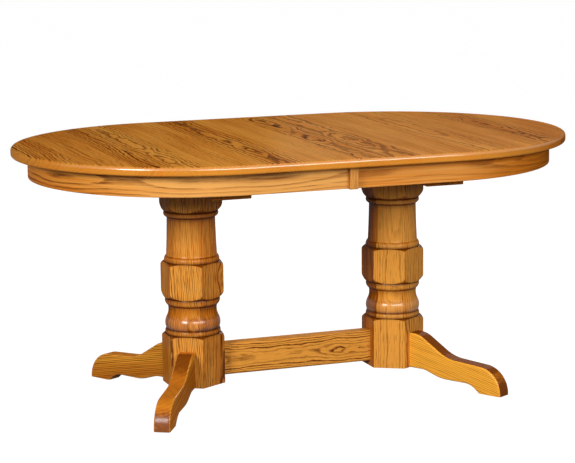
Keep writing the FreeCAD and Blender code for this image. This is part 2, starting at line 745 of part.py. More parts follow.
def racetrack(radius):
    """Half outline of the top or the apron, from the seam round the end in two quarter turns."""
    rise = f"{radius} * (1 - sqrt(2) / 2)"
    return [(HALF_SEAM, f"-{radius}"), (END_CENTRE, f"-{radius}"), (f"{END_CENTRE} + {radius}", "0", rise),
            (END_CENTRE, radius, rise), (HALF_SEAM, radius)]


def pin_holes(half):
    """Seats for this half's pins and sockets for the other half's, bored along X into the meeting edge."""
    seat = ("dims.pin_radius", "dims.pin_depth")
    socket = ("dims.pin_radius + dims.pin_socket_gap", "dims.pin_reach + dims.overrun")
    places = ((seat, PIN_OUTER_PLACE), (seat, "-dims.pin_inner_place"),
              (socket, f"-{PIN_OUTER_PLACE}"), (socket, "dims.pin_inner_place"))
    for (radius, depth), y in places:
        hole = cylinder(f"{half}_pin_hole", radius, f"{depth} + dims.overrun")
        yield half_place(hole, half, "-dims.overrun", y, PIN_LEVEL, lying(0))


def make_top(half, screws):
    """Half of the solid top with a rounded edge, bored along the seam for the alignment pins."""
    body = new_body(f"{half}_top_board")
    outline = new_sketch(body, "outline", "XY_Plane")
    draw_outline(outline, racetrack(END_RADIUS))
    pad(body, outline, "dims.top_thickness")
    high = value("dims.top_thickness")
    seam = value(HALF_SEAM)
    round_edges(body, "dims.top_edge_round",
                lambda edge: near(middle_of(edge).z, high) and not near(middle_of(edge).x, seam))
    round_edges(body, "dims.bottom_edge_round",
                lambda edge: near(middle_of(edge).z, 0) and not near(middle_of(edge).x, seam))
    half_place(body, half, z=TOP_UNDERSIDE)
    top = cut(f"{half}_top_bored", body, list(pin_holes(half)) + screws["front"] + screws["back"])
    finish(top, f"{half}_top")


def make_pins(half):
    """Dowel pins with chamfered noses, glued into this half and entering the other."""
    pins = []
    for y in (PIN_OUTER_PLACE, "-dims.pin_inner_place"):
        shank = cylinder(f"{half}_pin_shank", "dims.pin_radius",
                         "dims.pin_depth + dims.pin_reach - dims.pin_nose")
        half_place(shank, half, "dims.pin_depth", y, PIN_LEVEL, lying(HALF_TURN))
        nose = doc.addObject("Part::Cone", f"{half}_pin_nose")
        bind(nose, Radius1="dims.pin_radius", Radius2="dims.pin_radius - dims.pin_nose",
             Height="dims.pin_nose")
        half_place(nose, half, "dims.pin_nose - dims.pin_reach", y, PIN_LEVEL, lying(HALF_TURN))
        pins.append(fuse(f"{half}_pin", [shank, nose]))
    finish(group(f"{half}_pins", pins), f"{half}_alignment_pins")


def make_apron(half):
    """Apron bent round the end as one U."""
    body = new_body(f"{half}_apron_bend")
    outline = new_sketch(body, "outline", "XY_Plane")
    outer = racetrack(APRON_RADIUS)
    inner_rise = f"-{APRON_INNER_RADIUS} * (1 - sqrt(2) / 2)"
    inner = [(HALF_SEAM, APRON_INNER_RADIUS), (END_CENTRE, APRON_INNER_RADIUS),
             (f"{END_CENTRE} + {APRON_INNER_RADIUS}", "0", inner_rise),
             (END_CENTRE, f"-{APRON_INNER_RADIUS}", inner_rise), (HALF_SEAM, f"-{APRON_INNER_RADIUS}")]
    draw_outline(outline, outer + inner)
    pad(body, outline, "dims.apron_height")
    seam = value(HALF_SEAM)
    round_edges(body, "dims.apron_edge_round",
                lambda edge: near(middle_of(edge).z, 0) and not near(middle_of(edge).x, seam))
    half_place(body, half, z=APRON_BOTTOM)
    finish(body, f"{half}_apron")


def make_seam_cover(half):
    """Block glued over the end of this half's apron, lapping the other half's with a little relief behind."""
    body = new_body(f"{half}_cover_block")
    outline = new_sketch(body, "outline", "XY_Plane")
    face = APRON_RADIUS
    front = f"{APRON_RADIUS} + dims.seam_cover_depth"
    relieved = f"{APRON_RADIUS} + dims.seam_cover_relief"
    high = "dims.seam_cover_width - dims.seam_cover_lap"
    draw_outline(outline, [(HALF_SEAM, face), (high, face), (high, front), ("-dims.seam_cover_lap", front),
                           ("-dims.seam_cover_lap", relieved), (HALF_SEAM, relieved)])
    pad(body, outline, "dims.apron_height")
    outer = value(front)
    round_edges(body, "dims.seam_cover_round",
                lambda edge: near(middle_of(edge).y, outer) and is_upright(edge))
    half_place(body, half, z=APRON_BOTTOM)
    finish(body, f"{half}_seam_cover")


def is_upright(edge):
    return abs(edge.tangentAt(edge.FirstParameter).z) > 0.5


def half_rails(half):
    """End and rail centre of the two rails of a half, in the right half's frame."""
    ends = ("front", "back") if half == "right" else ("back", "front")
    return (ends[0], f"-{RAIL_Y}"), (ends[1], RAIL_Y)


def top_screw_places(rail_y):
    """Screws along one moving rail, the last of them a gap short of its outer end."""
    for step in reversed(range(TOP_SCREWS_PER_RAIL)):
        yield (f"{RAIL_END} - dims.top_screw_end_gap - dims.top_screw_pitch * {step}",
               f"{rail_y} + {RAIL_FACE} + dims.moving_rail_thickness * {TOP_SCREW_SHARE}")


def make_top_screws(half):
    """Screws up through both rails of a half into the top, by the end that their rail is at."""
    low = f"{TOP_UNDERSIDE} - dims.top_screw_wall"
    screws = {}
    for end, rail_y in half_rails(half):
        screws[end] = []
        for x, y in top_screw_places(rail_y):
            shank = cylinder(f"{half}_screw_shank", "dims.screw_radius",
                             "dims.top_screw_wall + dims.top_screw_grip")
            head = cylinder(f"{half}_screw_head", "dims.screw_head_radius", "dims.screw_head_height")
            half_place(shank, half, x, y, low)
            half_place(head, half, x, y, low)
            screws[end].append(fuse(f"{half}_{end}_screw", [shank, head]))
    finish(group(f"{half}_screws", screws["front"] + screws["back"]), f"{half}_rail_screws")
    return screws


def make_moving_rail(half, end, rail_y):
    """Rail under a half of the top: a dovetail tongue for the fixed rail and a rebate for the rack."""
    body = new_body(f"{half}_{end}_rail_bar")
    section = new_sketch(body, "section", "YZ_Plane")
    back = f"{RAIL_FACE} + dims.moving_rail_thickness"
    gear_half = "dims.gear_height / 2"
    levels = [level for _, level in dovetail(FIXED_HALF, "-", "dims.dovetail_gap")]
    tip = f"{FIXED_HALF} - dims.dovetail_depth + dims.dovetail_gap"
    tongue = list(zip((RAIL_FACE, tip, tip, RAIL_FACE), levels))
    rebate = [(RAIL_FACE, f"dims.gear_level - {gear_half}"), (RACK_BACK, f"dims.gear_level - {gear_half}"),
              (RACK_BACK, f"dims.gear_level + {gear_half}"), (RAIL_FACE, f"dims.gear_level + {gear_half}")]
    corners = [(RAIL_FACE, "dims.moving_rail_lift")] + tongue + rebate
    corners += [(RAIL_FACE, "dims.apron_height"), (back, "dims.apron_height")]
    corners.append((back, "dims.moving_rail_lift"))
    draw_outline(section, corners[::-1])
    pad(body, section, f"dims.moving_rail_inner_reach + {RAIL_END}")
    half_place(body, half, "-dims.moving_rail_inner_reach", rail_y, APRON_BOTTOM)
    return body


def make_rack(half, end, rail_y):
    """Rack let into a moving rail: a bar with one tooth space cut and repeated along it."""
    body = new_body(f"{half}_{end}_rack_bar")
    teeth = math.ceil(value(f"dims.slide_travel / {GEAR_PITCH}")) + 2 * RACK_SPARE_TEETH + 1
    high = f"{GEAR_PITCH} * {RACK_SPARE_TEETH + 0.5}"
    low = f"{GEAR_PITCH} * {RACK_SPARE_TEETH + 0.5 - teeth}"
    tips = f"({PITCH_RADIUS} - dims.gear_module)"
    bar = new_sketch(body, "bar", "XY_Plane")
    draw_outline(bar, rectangle(low, tips, high, RACK_BACK))
    pad(body, bar, "dims.gear_height")
    slope = math.tan(math.radians(PRESSURE_ANGLE))
    half_gap = f"({GEAR_PITCH} / 4 + dims.gear_backlash / 4)"
    root_half = f"({half_gap} - dims.gear_module * {GEAR_DEDENDUM_SHARE * slope})"
    tip_half = f"({half_gap} + dims.gear_module * {slope})"
    space = new_sketch(body, "tooth_space", "XY_Plane")
    mouth = f"{tips} - dims.overrun"
    draw_outline(space, [(f"{high} - {tip_half}", mouth), (f"{high} + {tip_half}", mouth),
                         (f"{high} + {tip_half}", tips), (f"{high} + {root_half}", RACK_ROOT),
                         (f"{high} - {root_half}", RACK_ROOT), (f"{high} - {tip_half}", tips)])
    first = pocket(body, space, "dims.gear_height + dims.overrun")
    row = body.newObject("PartDesign::LinearPattern", f"{half}_{end}_teeth")
    row.Originals = [first]
    row.Direction = (space, ["H_Axis"])
    row.Reversed = True
    bind(row, Length=f"{GEAR_PITCH} * {teeth}")
    row.Occurrences = teeth + 1
    body.Tip = row
    half_place(body, half, "0", rail_y, GEAR_LOW)
    finish(body, f"{half}_{end}_rack")


def make_half_rails(half, screws):
    """Both moving rails of a half, counterbored for the heads of their screws, with their racks."""
    for end, rail_y in half_rails(half):
        body = make_moving_rail(half, end, rail_y)
        bores = []
        for x, y in top_screw_places(rail_y):
            bore = cylinder(f"{half}_{end}_counterbore", "dims.screw_head_radius",
                            "dims.apron_height - dims.top_screw_wall")
            bores.append(half_place(bore, half, x, y, APRON_BOTTOM))
        rail = cut(f"{half}_{end}_rail_drilled", body, bores + screws[end])
        finish(rail, f"{half}_{end}_rail")
        make_rack(half, end, rail_y)


def make_glue_blocks(half):
    """Blocks in the corner of apron and top, cut to the bend round the end and square near the seam."""
    low = f"{TOP_UNDERSIDE} - dims.block_height"
    blocks = []
    for angle in BLOCK_ANGLES:
        ring = []
        for radius in (APRON_INNER_RADIUS, f"{APRON_INNER_RADIUS} - dims.block_depth"):
            sector = cylinder(f"{half}_block_sector", radius, "dims.block_height")
            sector.Angle = BLOCK_SECTOR
            ring.append(half_place(sector, half, END_CENTRE, "0", low, turn(angle - BLOCK_SECTOR / 2)))
        blocks.append(cut(f"{half}_bend_block", ring[0], ring[1:]))
    for y in (f"{APRON_INNER_RADIUS} - dims.block_depth", f"-{APRON_INNER_RADIUS}"):
        block = box(f"{half}_seam_block", "dims.block_length", "dims.block_depth", "dims.block_height")
        blocks.append(half_place(block, half, "dims.block_seam_setback", y, low))
    finish(group(f"{half}_blocks", blocks), f"{half}_glue_blocks")


def lock_plate(half, name, y):
    """Thin plate screwed under the top beside the seam."""
    plate = box(f"{half}_{name}", "dims.lock_plate_length", "dims.lock_plate_width",
                "dims.lock_plate_thickness")
    return half_place(plate, half, f"{HALF_SEAM} + dims.lock_plate_edge_gap",
                      f"{y} - dims.lock_plate_width / 2", LOCK_PLATE_LOW)


def make_lock(half):
    """Table lock: a plate with a riveted pivot, its lever, and the keeper stud for the other half's."""
    x, y = LOCK_PIVOT
    rivet_high = f"({LEVER_LOW} - dims.lock_lever_gap)"
    plate = lock_plate(half, "lock_board", y)
    pivot = cylinder(f"{half}_lock_pivot", "dims.lock_pivot_radius", f"{LOCK_PLATE_LOW} - {rivet_high}")
    half_place(pivot, half, x, y, rivet_high)
    rivet = cylinder(f"{half}_lock_rivet", "dims.lock_rivet_radius", "dims.lock_rivet_height")
    half_place(rivet, half, x, y, f"{rivet_high} - dims.lock_rivet_height")
    finish(fuse(f"{half}_lock_base", [plate, pivot, rivet]), f"{half}_lock_plate")

    keeper = lock_plate(half, "keeper_board", f"-{y}")
    stud = cylinder(f"{half}_keeper_stud", "dims.lock_stud_radius", "dims.lock_stud_length")
    half_place(stud, half, "dims.lock_stud_setback", f"-{y}", f"{LOCK_PLATE_LOW} - dims.lock_stud_length")
    finish(fuse(f"{half}_keeper", [keeper, stud]), f"{half}_lock_keeper")
    make_lock_lever(half)


def make_lock_lever(half):
    """Lever with a hook whose slot runs on a circle about the pivot, open at the end that meets the stud."""
    x, y = LOCK_PIVOT
    depth = "dims.lock_lever_thickness"
    hook_half = "(dims.lock_stud_radius + dims.lock_slot_gap + dims.lock_hook_width)"
    slot_half = "(dims.lock_stud_radius + dims.lock_slot_gap)"
    name = f"{half}_lever"

    def sector(part, radius, start, low=LEVER_LOW, height=depth):
        feature = cylinder(f"{name}_{part}", radius, height)
        feature.Angle = LOCK_HOOK_SWEEP
        return half_place(feature, half, x, y, low, turn(start))

    start = HALF_TURN + LOCK_HOOK_START
    outer = sector("hook", f"{SLOT_RADIUS} + {hook_half}", start)
    cut_low = f"{LEVER_LOW} - dims.overrun"
    cut_height = f"{depth} + 2 * dims.overrun"
    slot_start = start + LOCK_SLOT_SWEEP - LOCK_HOOK_SWEEP
    slot_outer = sector("slot", f"{SLOT_RADIUS} + {slot_half}", slot_start, cut_low, cut_height)
    slot_inner = sector("core", f"{SLOT_RADIUS} - {slot_half}", slot_start, cut_low, cut_height)
    hook = cut(f"{name}_hooked", outer, [cut(f"{name}_slot_ring", slot_outer, [slot_inner])])
    hub = cylinder(f"{name}_hub", "dims.lock_hub_radius", depth)
    half_place(hub, half, x, y, LEVER_LOW)
    thumb = box(f"{name}_thumb", "dims.lock_thumb_length", "dims.lock_thumb_width", depth)
    swing = start + LOCK_THUMB_TURN
    shift_x = f"{x} + dims.lock_thumb_width / 2 * sin({swing})"
    shift_y = f"{y} - dims.lock_thumb_width / 2 * cos({swing})"
    half_place(thumb, half, shift_x, shift_y, LEVER_LOW, turn(swing))
    solid = fuse(f"{name}_solid", [hook, hub, thumb])
    bore = cylinder(f"{name}_bore", "dims.lock_pivot_radius + dims.lock_pivot_gap", cut_height)
    half_place(bore, half, x, y, cut_low)
    end = "back" if half == "right" else "front"
    finish(cut(f"{name}_bored", solid, [bore]), f"{end}_lock_lever")


def make_base():
    for side, sign, angles in (("left", "-", LEFT_FOOT_ANGLES), ("right", "", RIGHT_FOOT_ANGLES)):
        make_column(side, sign)
        for end, angle in angles.items():
            make_foot(side, sign, end, angle)
    make_glides()
    make_stretcher()
    make_bolts()
    screws = make_cleats()
    for end, sign in (("front", "-"), ("back", "")):
        make_fixed_rail(end, sign, screws)
        make_pinion(end, sign)


def make_half(half):
    screws = make_top_screws(half)
    make_top(half, screws)
    make_pins(half)
    make_apron(half)
    make_seam_cover(half)
    make_half_rails(half, screws)
    make_glue_blocks(half)
    make_lock(half)


def write_pieces():
    """Check every object of the document, then write each piece to its own file."""
    doc.recompute()
    for item in doc.Objects:
        if "Invalid" in item.State or "Error" in item.State:
            raise RuntimeError(f"{item.Label} is {item.State}")
    for piece in pieces:
        if piece.Shape.isNull() or not piece.Shape.isValid():
            raise RuntimeError(f"{piece.Label} has no valid shape")
    os.makedirs("parts", exist_ok=True)
    for piece in pieces:
        piece.Shape.exportStep(f"parts/{piece.Label}.step")
        print(piece.Label, len(piece.Shape.Solids), round(piece.Shape.Volume))


make_base()
make_half("left")
make_half("right")
write_pieces()
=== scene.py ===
import math

import bpy
from mathutils import Matrix, Vector


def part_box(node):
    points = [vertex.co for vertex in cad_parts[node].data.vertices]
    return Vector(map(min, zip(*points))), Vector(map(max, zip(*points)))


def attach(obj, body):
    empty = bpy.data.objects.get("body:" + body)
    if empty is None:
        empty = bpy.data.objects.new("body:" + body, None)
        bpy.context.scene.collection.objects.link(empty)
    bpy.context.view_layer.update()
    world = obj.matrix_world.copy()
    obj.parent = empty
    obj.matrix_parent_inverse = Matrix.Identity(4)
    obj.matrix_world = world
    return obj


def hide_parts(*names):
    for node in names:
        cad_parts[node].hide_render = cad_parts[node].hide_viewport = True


# Double pedestal extension dining table in honey oak, in metres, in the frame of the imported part.

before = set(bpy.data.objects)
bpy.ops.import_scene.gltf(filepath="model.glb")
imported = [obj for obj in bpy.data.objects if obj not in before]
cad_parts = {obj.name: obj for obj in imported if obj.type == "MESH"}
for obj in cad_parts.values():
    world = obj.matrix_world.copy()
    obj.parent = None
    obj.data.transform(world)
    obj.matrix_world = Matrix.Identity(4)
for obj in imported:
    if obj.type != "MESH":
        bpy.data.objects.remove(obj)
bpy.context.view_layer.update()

# Places that the finishes follow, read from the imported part, and the feet's angle to the table's length.
TOP_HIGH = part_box("right_top")[1]
APRON_LOW, APRON_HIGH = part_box("right_apron")
COLUMN_LOW, COLUMN_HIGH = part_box("right_pedestal_column")
TABLE_LENGTH = 2 * TOP_HIGH.x
END_CENTRE = TOP_HIGH.x - TOP_HIGH.y
APRON_RADIUS = APRON_HIGH.y
PEDESTAL_X = (COLUMN_LOW.x + COLUMN_HIGH.x) / 2
HALF_FLATS = (COLUMN_HIGH.x - COLUMN_LOW.x) / 2
COLUMN_MIDDLE = (COLUMN_LOW.z + COLUMN_HIGH.z) / 2
FOOT_ANGLE = math.radians(60)

# Pedestal columns: six staves, with two turned lengths between three blocks. Each corner of a turned outline
# is its height and radius as shares of the turned length and of half the flats, then the rise of the arc
# that leads there as a share of the turned length, outward when positive.
STAVES = 6
HALF_STAVE = math.pi / STAVES
BLOCK_RADIUS = HALF_FLATS / math.cos(HALF_STAVE)
STAVE_THICKNESS = 0.04445
BASE_BLOCK_HEIGHT = 0.1415
WAIST_HEIGHT = 0.136
MID_BLOCK_HEIGHT = 0.078
SHAFT_HEIGHT = 0.185
WAIST_CORNERS = (
    (0.081, 0.984, 0.0150),
    (0.199, 0.950, 0.0160),
    (0.449, 0.933, 0.0300),
    (0.703, 0.884, -0.0235),
    (0.864, 0.975, 0.0300),
)
WAIST_LAST_RISE = 0.0150
SHAFT_CORNERS = (
    (0.068, 0.985, 0.0135),
    (0.168, 0.921, 0.0140),
    (0.184, 0.909, 0.0),
    (0.762, 0.864, -0.0027),
    (0.784, 0.872, 0.0),
    (0.876, 0.957, 0.0280),
)
SHAFT_LAST_RISE = 0.0124
ARRIS_EASE = 0.0015
ARC_STEPS = 14
STAVE_STEPS = 48
BORE_SLACK = 1.01
GROOVE_REACH = 0.004
SHARP_TURN = math.radians(28)

# Screws: radius and height of the head, and radius of the shank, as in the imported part. The rim and the cross
# recess are shares of the head, and the point's height is a share of the shank's radius.
WOOD_SCREW_HEAD = (0.0048, 0.003)
WOOD_SCREW_SHANK = 0.0025
LAG_SCREW_HEAD = (0.008, 0.005)
LAG_SCREW_SHANK = 0.004
PAN_HEAD_SIDES = 24
HEX_HEAD_SIDES = 6
SHANK_SIDES = 12
SCREW_REACH = 0.02
POINT_HEIGHT = 2.0
RIM_HEIGHT = 0.35
RIM_RADIUS = 0.8
RECESS_LENGTH = 1.1
RECESS_WIDTH = 0.26
RECESS_DEPTH = 1.1

# Picture that the camera matches.
IMAGE_WIDTH = 575
SENSOR_WIDTH = 36.0
FOCAL_PIXELS = 2004.15
CAMERA_AZIMUTH = math.radians(250.148)
CAMERA_ELEVATION = math.radians(9.911)
CAMERA_ROLL = math.radians(-0.638)
CAMERA_DISTANCE = 5.9948
CAMERA_TARGET = Vector((-0.0193, 0.0, 0.4765))

# Lamps: azimuth from the camera's and elevation in degrees, distance, width, height, and power in watts.
LAMPS = (
    ("left_softbox", -35.0, 20.0, 4.5, 1.3, 1.1, 132.0),
    ("right_softbox", 23.0, 19.0, 2.8, 2.4, 0.65, 55.0),
    ("back_softbox", 165.0, 21.0, 4.0, 2.2, 1.4, 95.0),
    ("top_softbox", 99.852, 72.0, 3.2, 0.25, 1.6, 14.0),
)

# Studio: a floor and a room that show as white, and light the table only a little.
FLOOR_SIZE = 60.0
FLOOR_GREY = (0.14, 0.14, 0.14, 1.0)
FLOOR_GLOW = (0.985, 0.985, 0.985, 1.0)
ROOM_WHITE = (1.0, 1.0, 1.0, 1.0)
ROOM_LIGHT = 0.06
ROOM_SHOWN = 1.0


def srgb(*steps):
    """Linear colour from the usual 0 to 255 steps."""
    shares = [step / 255 for step in steps]
    light = [share / 12.92 if share <= 0.04045 else ((share + 0.055) / 1.055) ** 2.4 for share in shares]
    return (*light, 1.0)


FLAXEN_OAK = srgb(210, 152, 80)
EDGE_OAK = srgb(194, 124, 40)
PALE_OAK = srgb(224, 151, 60)
AMBER_OAK = srgb(250, 174, 58)
HONEY_OAK = srgb(193, 111, 28)
BROWN_OAK = srgb(104, 48, 8)
PORE_BROWN = srgb(62, 26, 4)
CREAM_MAPLE = srgb(226, 196, 150)
TAN_MAPLE = srgb(206, 168, 116)
BROWN_MAPLE = srgb(150, 104, 60)
STEEL_GREY = srgb(176, 178, 180)
NYLON_CREAM = srgb(226, 222, 208)
GLIDE_BROWN = srgb(52, 42, 34)

# Oak: width of the yearly rings on each kind of piece.
WIDE_RINGS = 0.0085
APRON_RINGS = 0.0072
FOOT_RINGS = 0.0055
STRETCHER_RINGS = 0.005
CLOSE_RINGS = 0.0030

# How much shorter the figure counts a length along the grain or into the wood, which draws it out there, and
# the slopes of the grain in feet and staves.
TOP_ALONG = 0.85
APRON_ALONG = 0.45
FOOT_ALONG = 0.4
FOOT_INTO = 0.4
STAVE_INTO = 0.4
FOOT_SLOPE = 0.2
STAVE_SLOPE = 0.12

# Noises in the figure: waves per metre, along the grain and then across it where there are two, and how much
# each one counts.
SWAY_WAVES = 1.7
SWAY_SIZE = 0.03
DIP_WAVES = 2.6
JAG_WAVES = (20.0, 50.0)
YEAR_WAVES = 60.0
YEAR_SPREAD = 1.6
FIBRE_WAVES = (26.0, 850.0)
GAP_WAVES = (11.0, 150.0)
FLECK_WAVES = (24.0, 290.0)
DRIFT_WAVES = (1.9, 16.0)
STREAK_WAVES = (3.0, 240.0)
STREAK_SHARE = 0.9
BAND_WAVES = (1.5, 55.0, 20.0)
BAND_SHARE = 0.6
MOTTLE_WAVES = 180.0

# Relief of the pores, and the lacquer over them.
PORE_RELIEF = 0.12
PORE_DEPTH = 0.0004
LACQUER_ROUGHNESS = 0.22
LACQUER_IOR = 2.2

# Boards of the top from its left end: width and place of the log's heart across them as shares of the
# table's length, depth of the heart as a share of the greatest, tone, and strength of the figure.
HEART_DEPTH = 0.2
TOP_BOARDS = (
    (0.064, 0.095, 0.30, 0.50, 0.70),
    (0.072, 0.160, 0.80, 0.52, 0.20),
    (0.037, 0.200, 0.34, 0.42, 0.85),
    (0.068, 0.208, 0.20, 0.68, 0.85),
    (0.094, 0.420, 0.90, 0.60, 0.20),
    (0.070, 0.374, 0.18, 0.52, 0.90),
    (0.089, 0.600, 0.90, 0.64, 0.18),
    (0.057, 0.524, 0.26, 0.54, 0.75),
    (0.057, 0.580, 0.40, 0.56, 0.50),
    (0.107, 0.790, 0.85, 0.60, 0.20),
    (0.072, 0.750, 0.30, 0.60, 0.34),
    (0.071, 0.640, 0.80, 0.53, 0.20),
    (0.062, 0.888, 0.24, 0.46, 0.60),
    (0.080, 0.760, 0.70, 0.46, 0.24),
)

# Staves of the left column and then of the right one, each anticlockwise from the table's right: place of the
# heart across the stave as a share of the widest, tone, strength of the figure, and width of the rings as a
# share of the widest.
HEART_SPREAD = 0.12
WIDEST_STAVE_RINGS = 0.008
STAVE_ROWS = (
    (0.20, 0.50, 0.85, 0.45),
    (0.75, 0.60, 0.80, 0.40),
    (0.40, 0.50, 0.90, 0.45),
    (0.95, 0.45, 0.60, 0.50),
    (0.00, 0.80, 0.85, 0.50),
    (1.00, 0.52, 1.05, 0.70),
    (0.85, 0.70, 0.80, 0.45),
    (0.25, 0.60, 0.85, 0.40),
    (0.60, 0.50, 0.80, 0.45),
    (0.05, 0.00, 0.50, 0.40),
    (0.60, 1.00, 0.56, 0.50),
    (0.00, 0.90, 0.70, 0.50),
)

# Stain and painted shade in the turned grooves, the share of half the flats that a turned face lies within, and
# the shares of the waist's height from none to all of its bulge, gloss and neck.
GROOVE_STAIN_AND_SHADE = 0.42
GROOVE_FADE = 0.4
TURNED_FACE = 0.985
BULGE_FOOT = (0.18, 0.24)
BULGE_TOP = (0.72, 0.64)
GLOSS_TOP = (0.48, 0.43)
NECK_FOOT = (0.46, 0.50)
NECK_TOP = (0.68, 0.62)

# Knots in the staves: number of the stave, place across it, height above the column's foot, reach, and how
# far the grain swings round it. They are drawn out upwards, with a dark ring and heart and pale wood between.
KNOTS = (
    (4, 0.020, 0.184, 0.017, 0.012),
    (5, 0.042, 0.324, 0.022, 0.030),
)
KNOT_UPWARD = 0.8
KNOT_RING_SHARPNESS = 4.0
KNOT_HEART_SHARPNESS = 16.0
KNOT_PALENESS = 0.4

# Feet: left front, left back, right front, right back. Height of the heart as a share of the greatest, tone,
# and strength of the figure.
FOOT_HEART = 0.26
FOOT_ROWS = (
    (0.85, 0.36, 0.70),
    (0.95, 0.46, 0.90),
    (1.00, 1.00, 0.55),
    (0.35, 0.55, 0.80),
)

# Distances from a pedestal's axis along a foot, from none to all of the painted shade at its root and of the
# painted highlight at the root's end.
FOOT_ROOT_SHADE = (0.25, 0.13)
FOOT_END_HIGHLIGHT = (0.112, 0.096)


class Value:
    """One output of a tree's nodes. Arithmetic on it adds Math nodes."""

    def __init__(self, nodes, socket):
        self.nodes = nodes
        self.socket = socket

    def __add__(self, other):
        return self.nodes.maths("ADD", self, other)

    __radd__ = __add__

    def __sub__(self, other):
        return self.nodes.maths("SUBTRACT", self, other)

    def __rsub__(self, other):
        return self.nodes.maths("SUBTRACT", other, self)

    def __mul__(self, other):
        return self.nodes.maths("MULTIPLY", self, other)

    __rmul__ = __mul__

    def __truediv__(self, other):
        return self.nodes.maths("DIVIDE", self, other)

    def __rtruediv__(self, other):
        return self.nodes.maths("DIVIDE", other, self)

    def __mod__(self, step):
        return self.nodes.maths("FLOORED_MODULO", self, step)

    def __abs__(self):
        return self.nodes.maths("ABSOLUTE", self)

    def __gt__(self, other):
        return self.nodes.maths("GREATER_THAN", self, other)

    def __lt__(self, other):
        return self.nodes.maths("LESS_THAN", self, other)


class Nodes:
    """The nodes of a finish or of a shape."""

    def __init__(self, tree):
        self.tree = tree
        tree.nodes.clear()

    def node(self, kind, settings=None, inputs=None):
        """Add a node: its settings first, then the values or links of its sockets by name or number."""
        node = self.tree.nodes.new(kind)
        for name, setting in (settings or {}).items():
            if name == "stops":
                self.set_stops(node.color_ramp, setting)
            else:
                setattr(node, name, setting)
        for name, value in (inputs or {}).items():
            if isinstance(value, Value):
                self.tree.links.new(value.socket, node.inputs[name])
            elif isinstance(value, list):
                for one in value:
                    self.tree.links.new(one.socket, node.inputs[name])
            else:
                node.inputs[name].default_value = value
        return node

    @staticmethod
    def set_stops(ramp, stops):
        ramp.interpolation = "CONSTANT"
        while len(ramp.elements) < len(stops):
            ramp.elements.new(1.0)
        for element, (place, colour) in zip(ramp.elements, stops):
            element.position = place
            element.color = colour

    def value(self, kind, settings=None, inputs=None, output=0):
        return Value(self, self.node(kind, settings, inputs).outputs[output])

    def maths(self, operation, *terms):
        return self.value("ShaderNodeMath", {"operation": operation}, dict(enumerate(terms)))

    def parts(self, vector):
        """The three numbers of a vector or the three channels of a colour."""
        split = self.node("ShaderNodeSeparateXYZ", inputs={0: vector})
        return [Value(self, socket) for socket in split.outputs]

    def vector(self, x=0.0, y=0.0, z=0.0):
        return self.value("ShaderNodeCombineXYZ", inputs={0: x, 1: y, 2: z})


class Finish(Nodes):
    """A material and the nodes that make its colour, gloss and relief."""

    def __init__(self, name):
        self.material = bpy.data.materials.new(name)
        self.material.use_nodes = True
        super().__init__(self.material.node_tree)

    def place(self):
        """Where a point lies in the table's own frame."""
        return self.parts(self.value("ShaderNodeTexCoord", output="Object"))

    def noise(self, x, y, z, detail=2.0):
        """Soft noise about zero."""
        inputs = {"Vector": self.vector(x, y, z), "Scale": 1.0, "Detail": detail}
        return self.value("ShaderNodeTexNoise", inputs=inputs) - 0.5

    def ramp(self, value, low, high):
        """Smooth step from 0 at low to 1 at high."""
        inputs = {"Value": value, "From Min": low, "From Max": high}
        return self.value("ShaderNodeMapRange", {"interpolation_type": "SMOOTHSTEP"}, inputs)

    def row(self, rows, place):
        """Up to four numbers of the row that a place from 0 to 1 falls in. A row begins with its start."""
        stops = [(start, (*numbers, 1.0)[:4]) for start, *numbers in rows]
        ramp = self.node("ShaderNodeValToRGB", {"stops": stops}, {0: place})
        return self.parts(Value(self, ramp.outputs["Color"])) + [Value(self, ramp.outputs["Alpha"])]

    def facing(self):
        """The way a surface faces in the table's own frame."""
        return self.parts(self.value("ShaderNodeTexCoord", output="Normal"))

    def chance(self, x, y=0.0):
        """A number from 0 to 1 for each piece, the same every time."""
        inputs = {"Vector": self.vector(x, y)}
        return self.value("ShaderNodeTexWhiteNoise", {"noise_dimensions": "3D"}, inputs)

    def mix(self, share, one, other):
        """Colour between two, by a share of the other."""
        inputs = {"Factor": share, 6: one, 7: other}
        return self.value("ShaderNodeMix", {"data_type": "RGBA"}, inputs, output=2)

    def close(self, shader):
        self.node("ShaderNodeOutputMaterial", inputs={"Surface": Value(self, shader.outputs[0])})
        return self.material


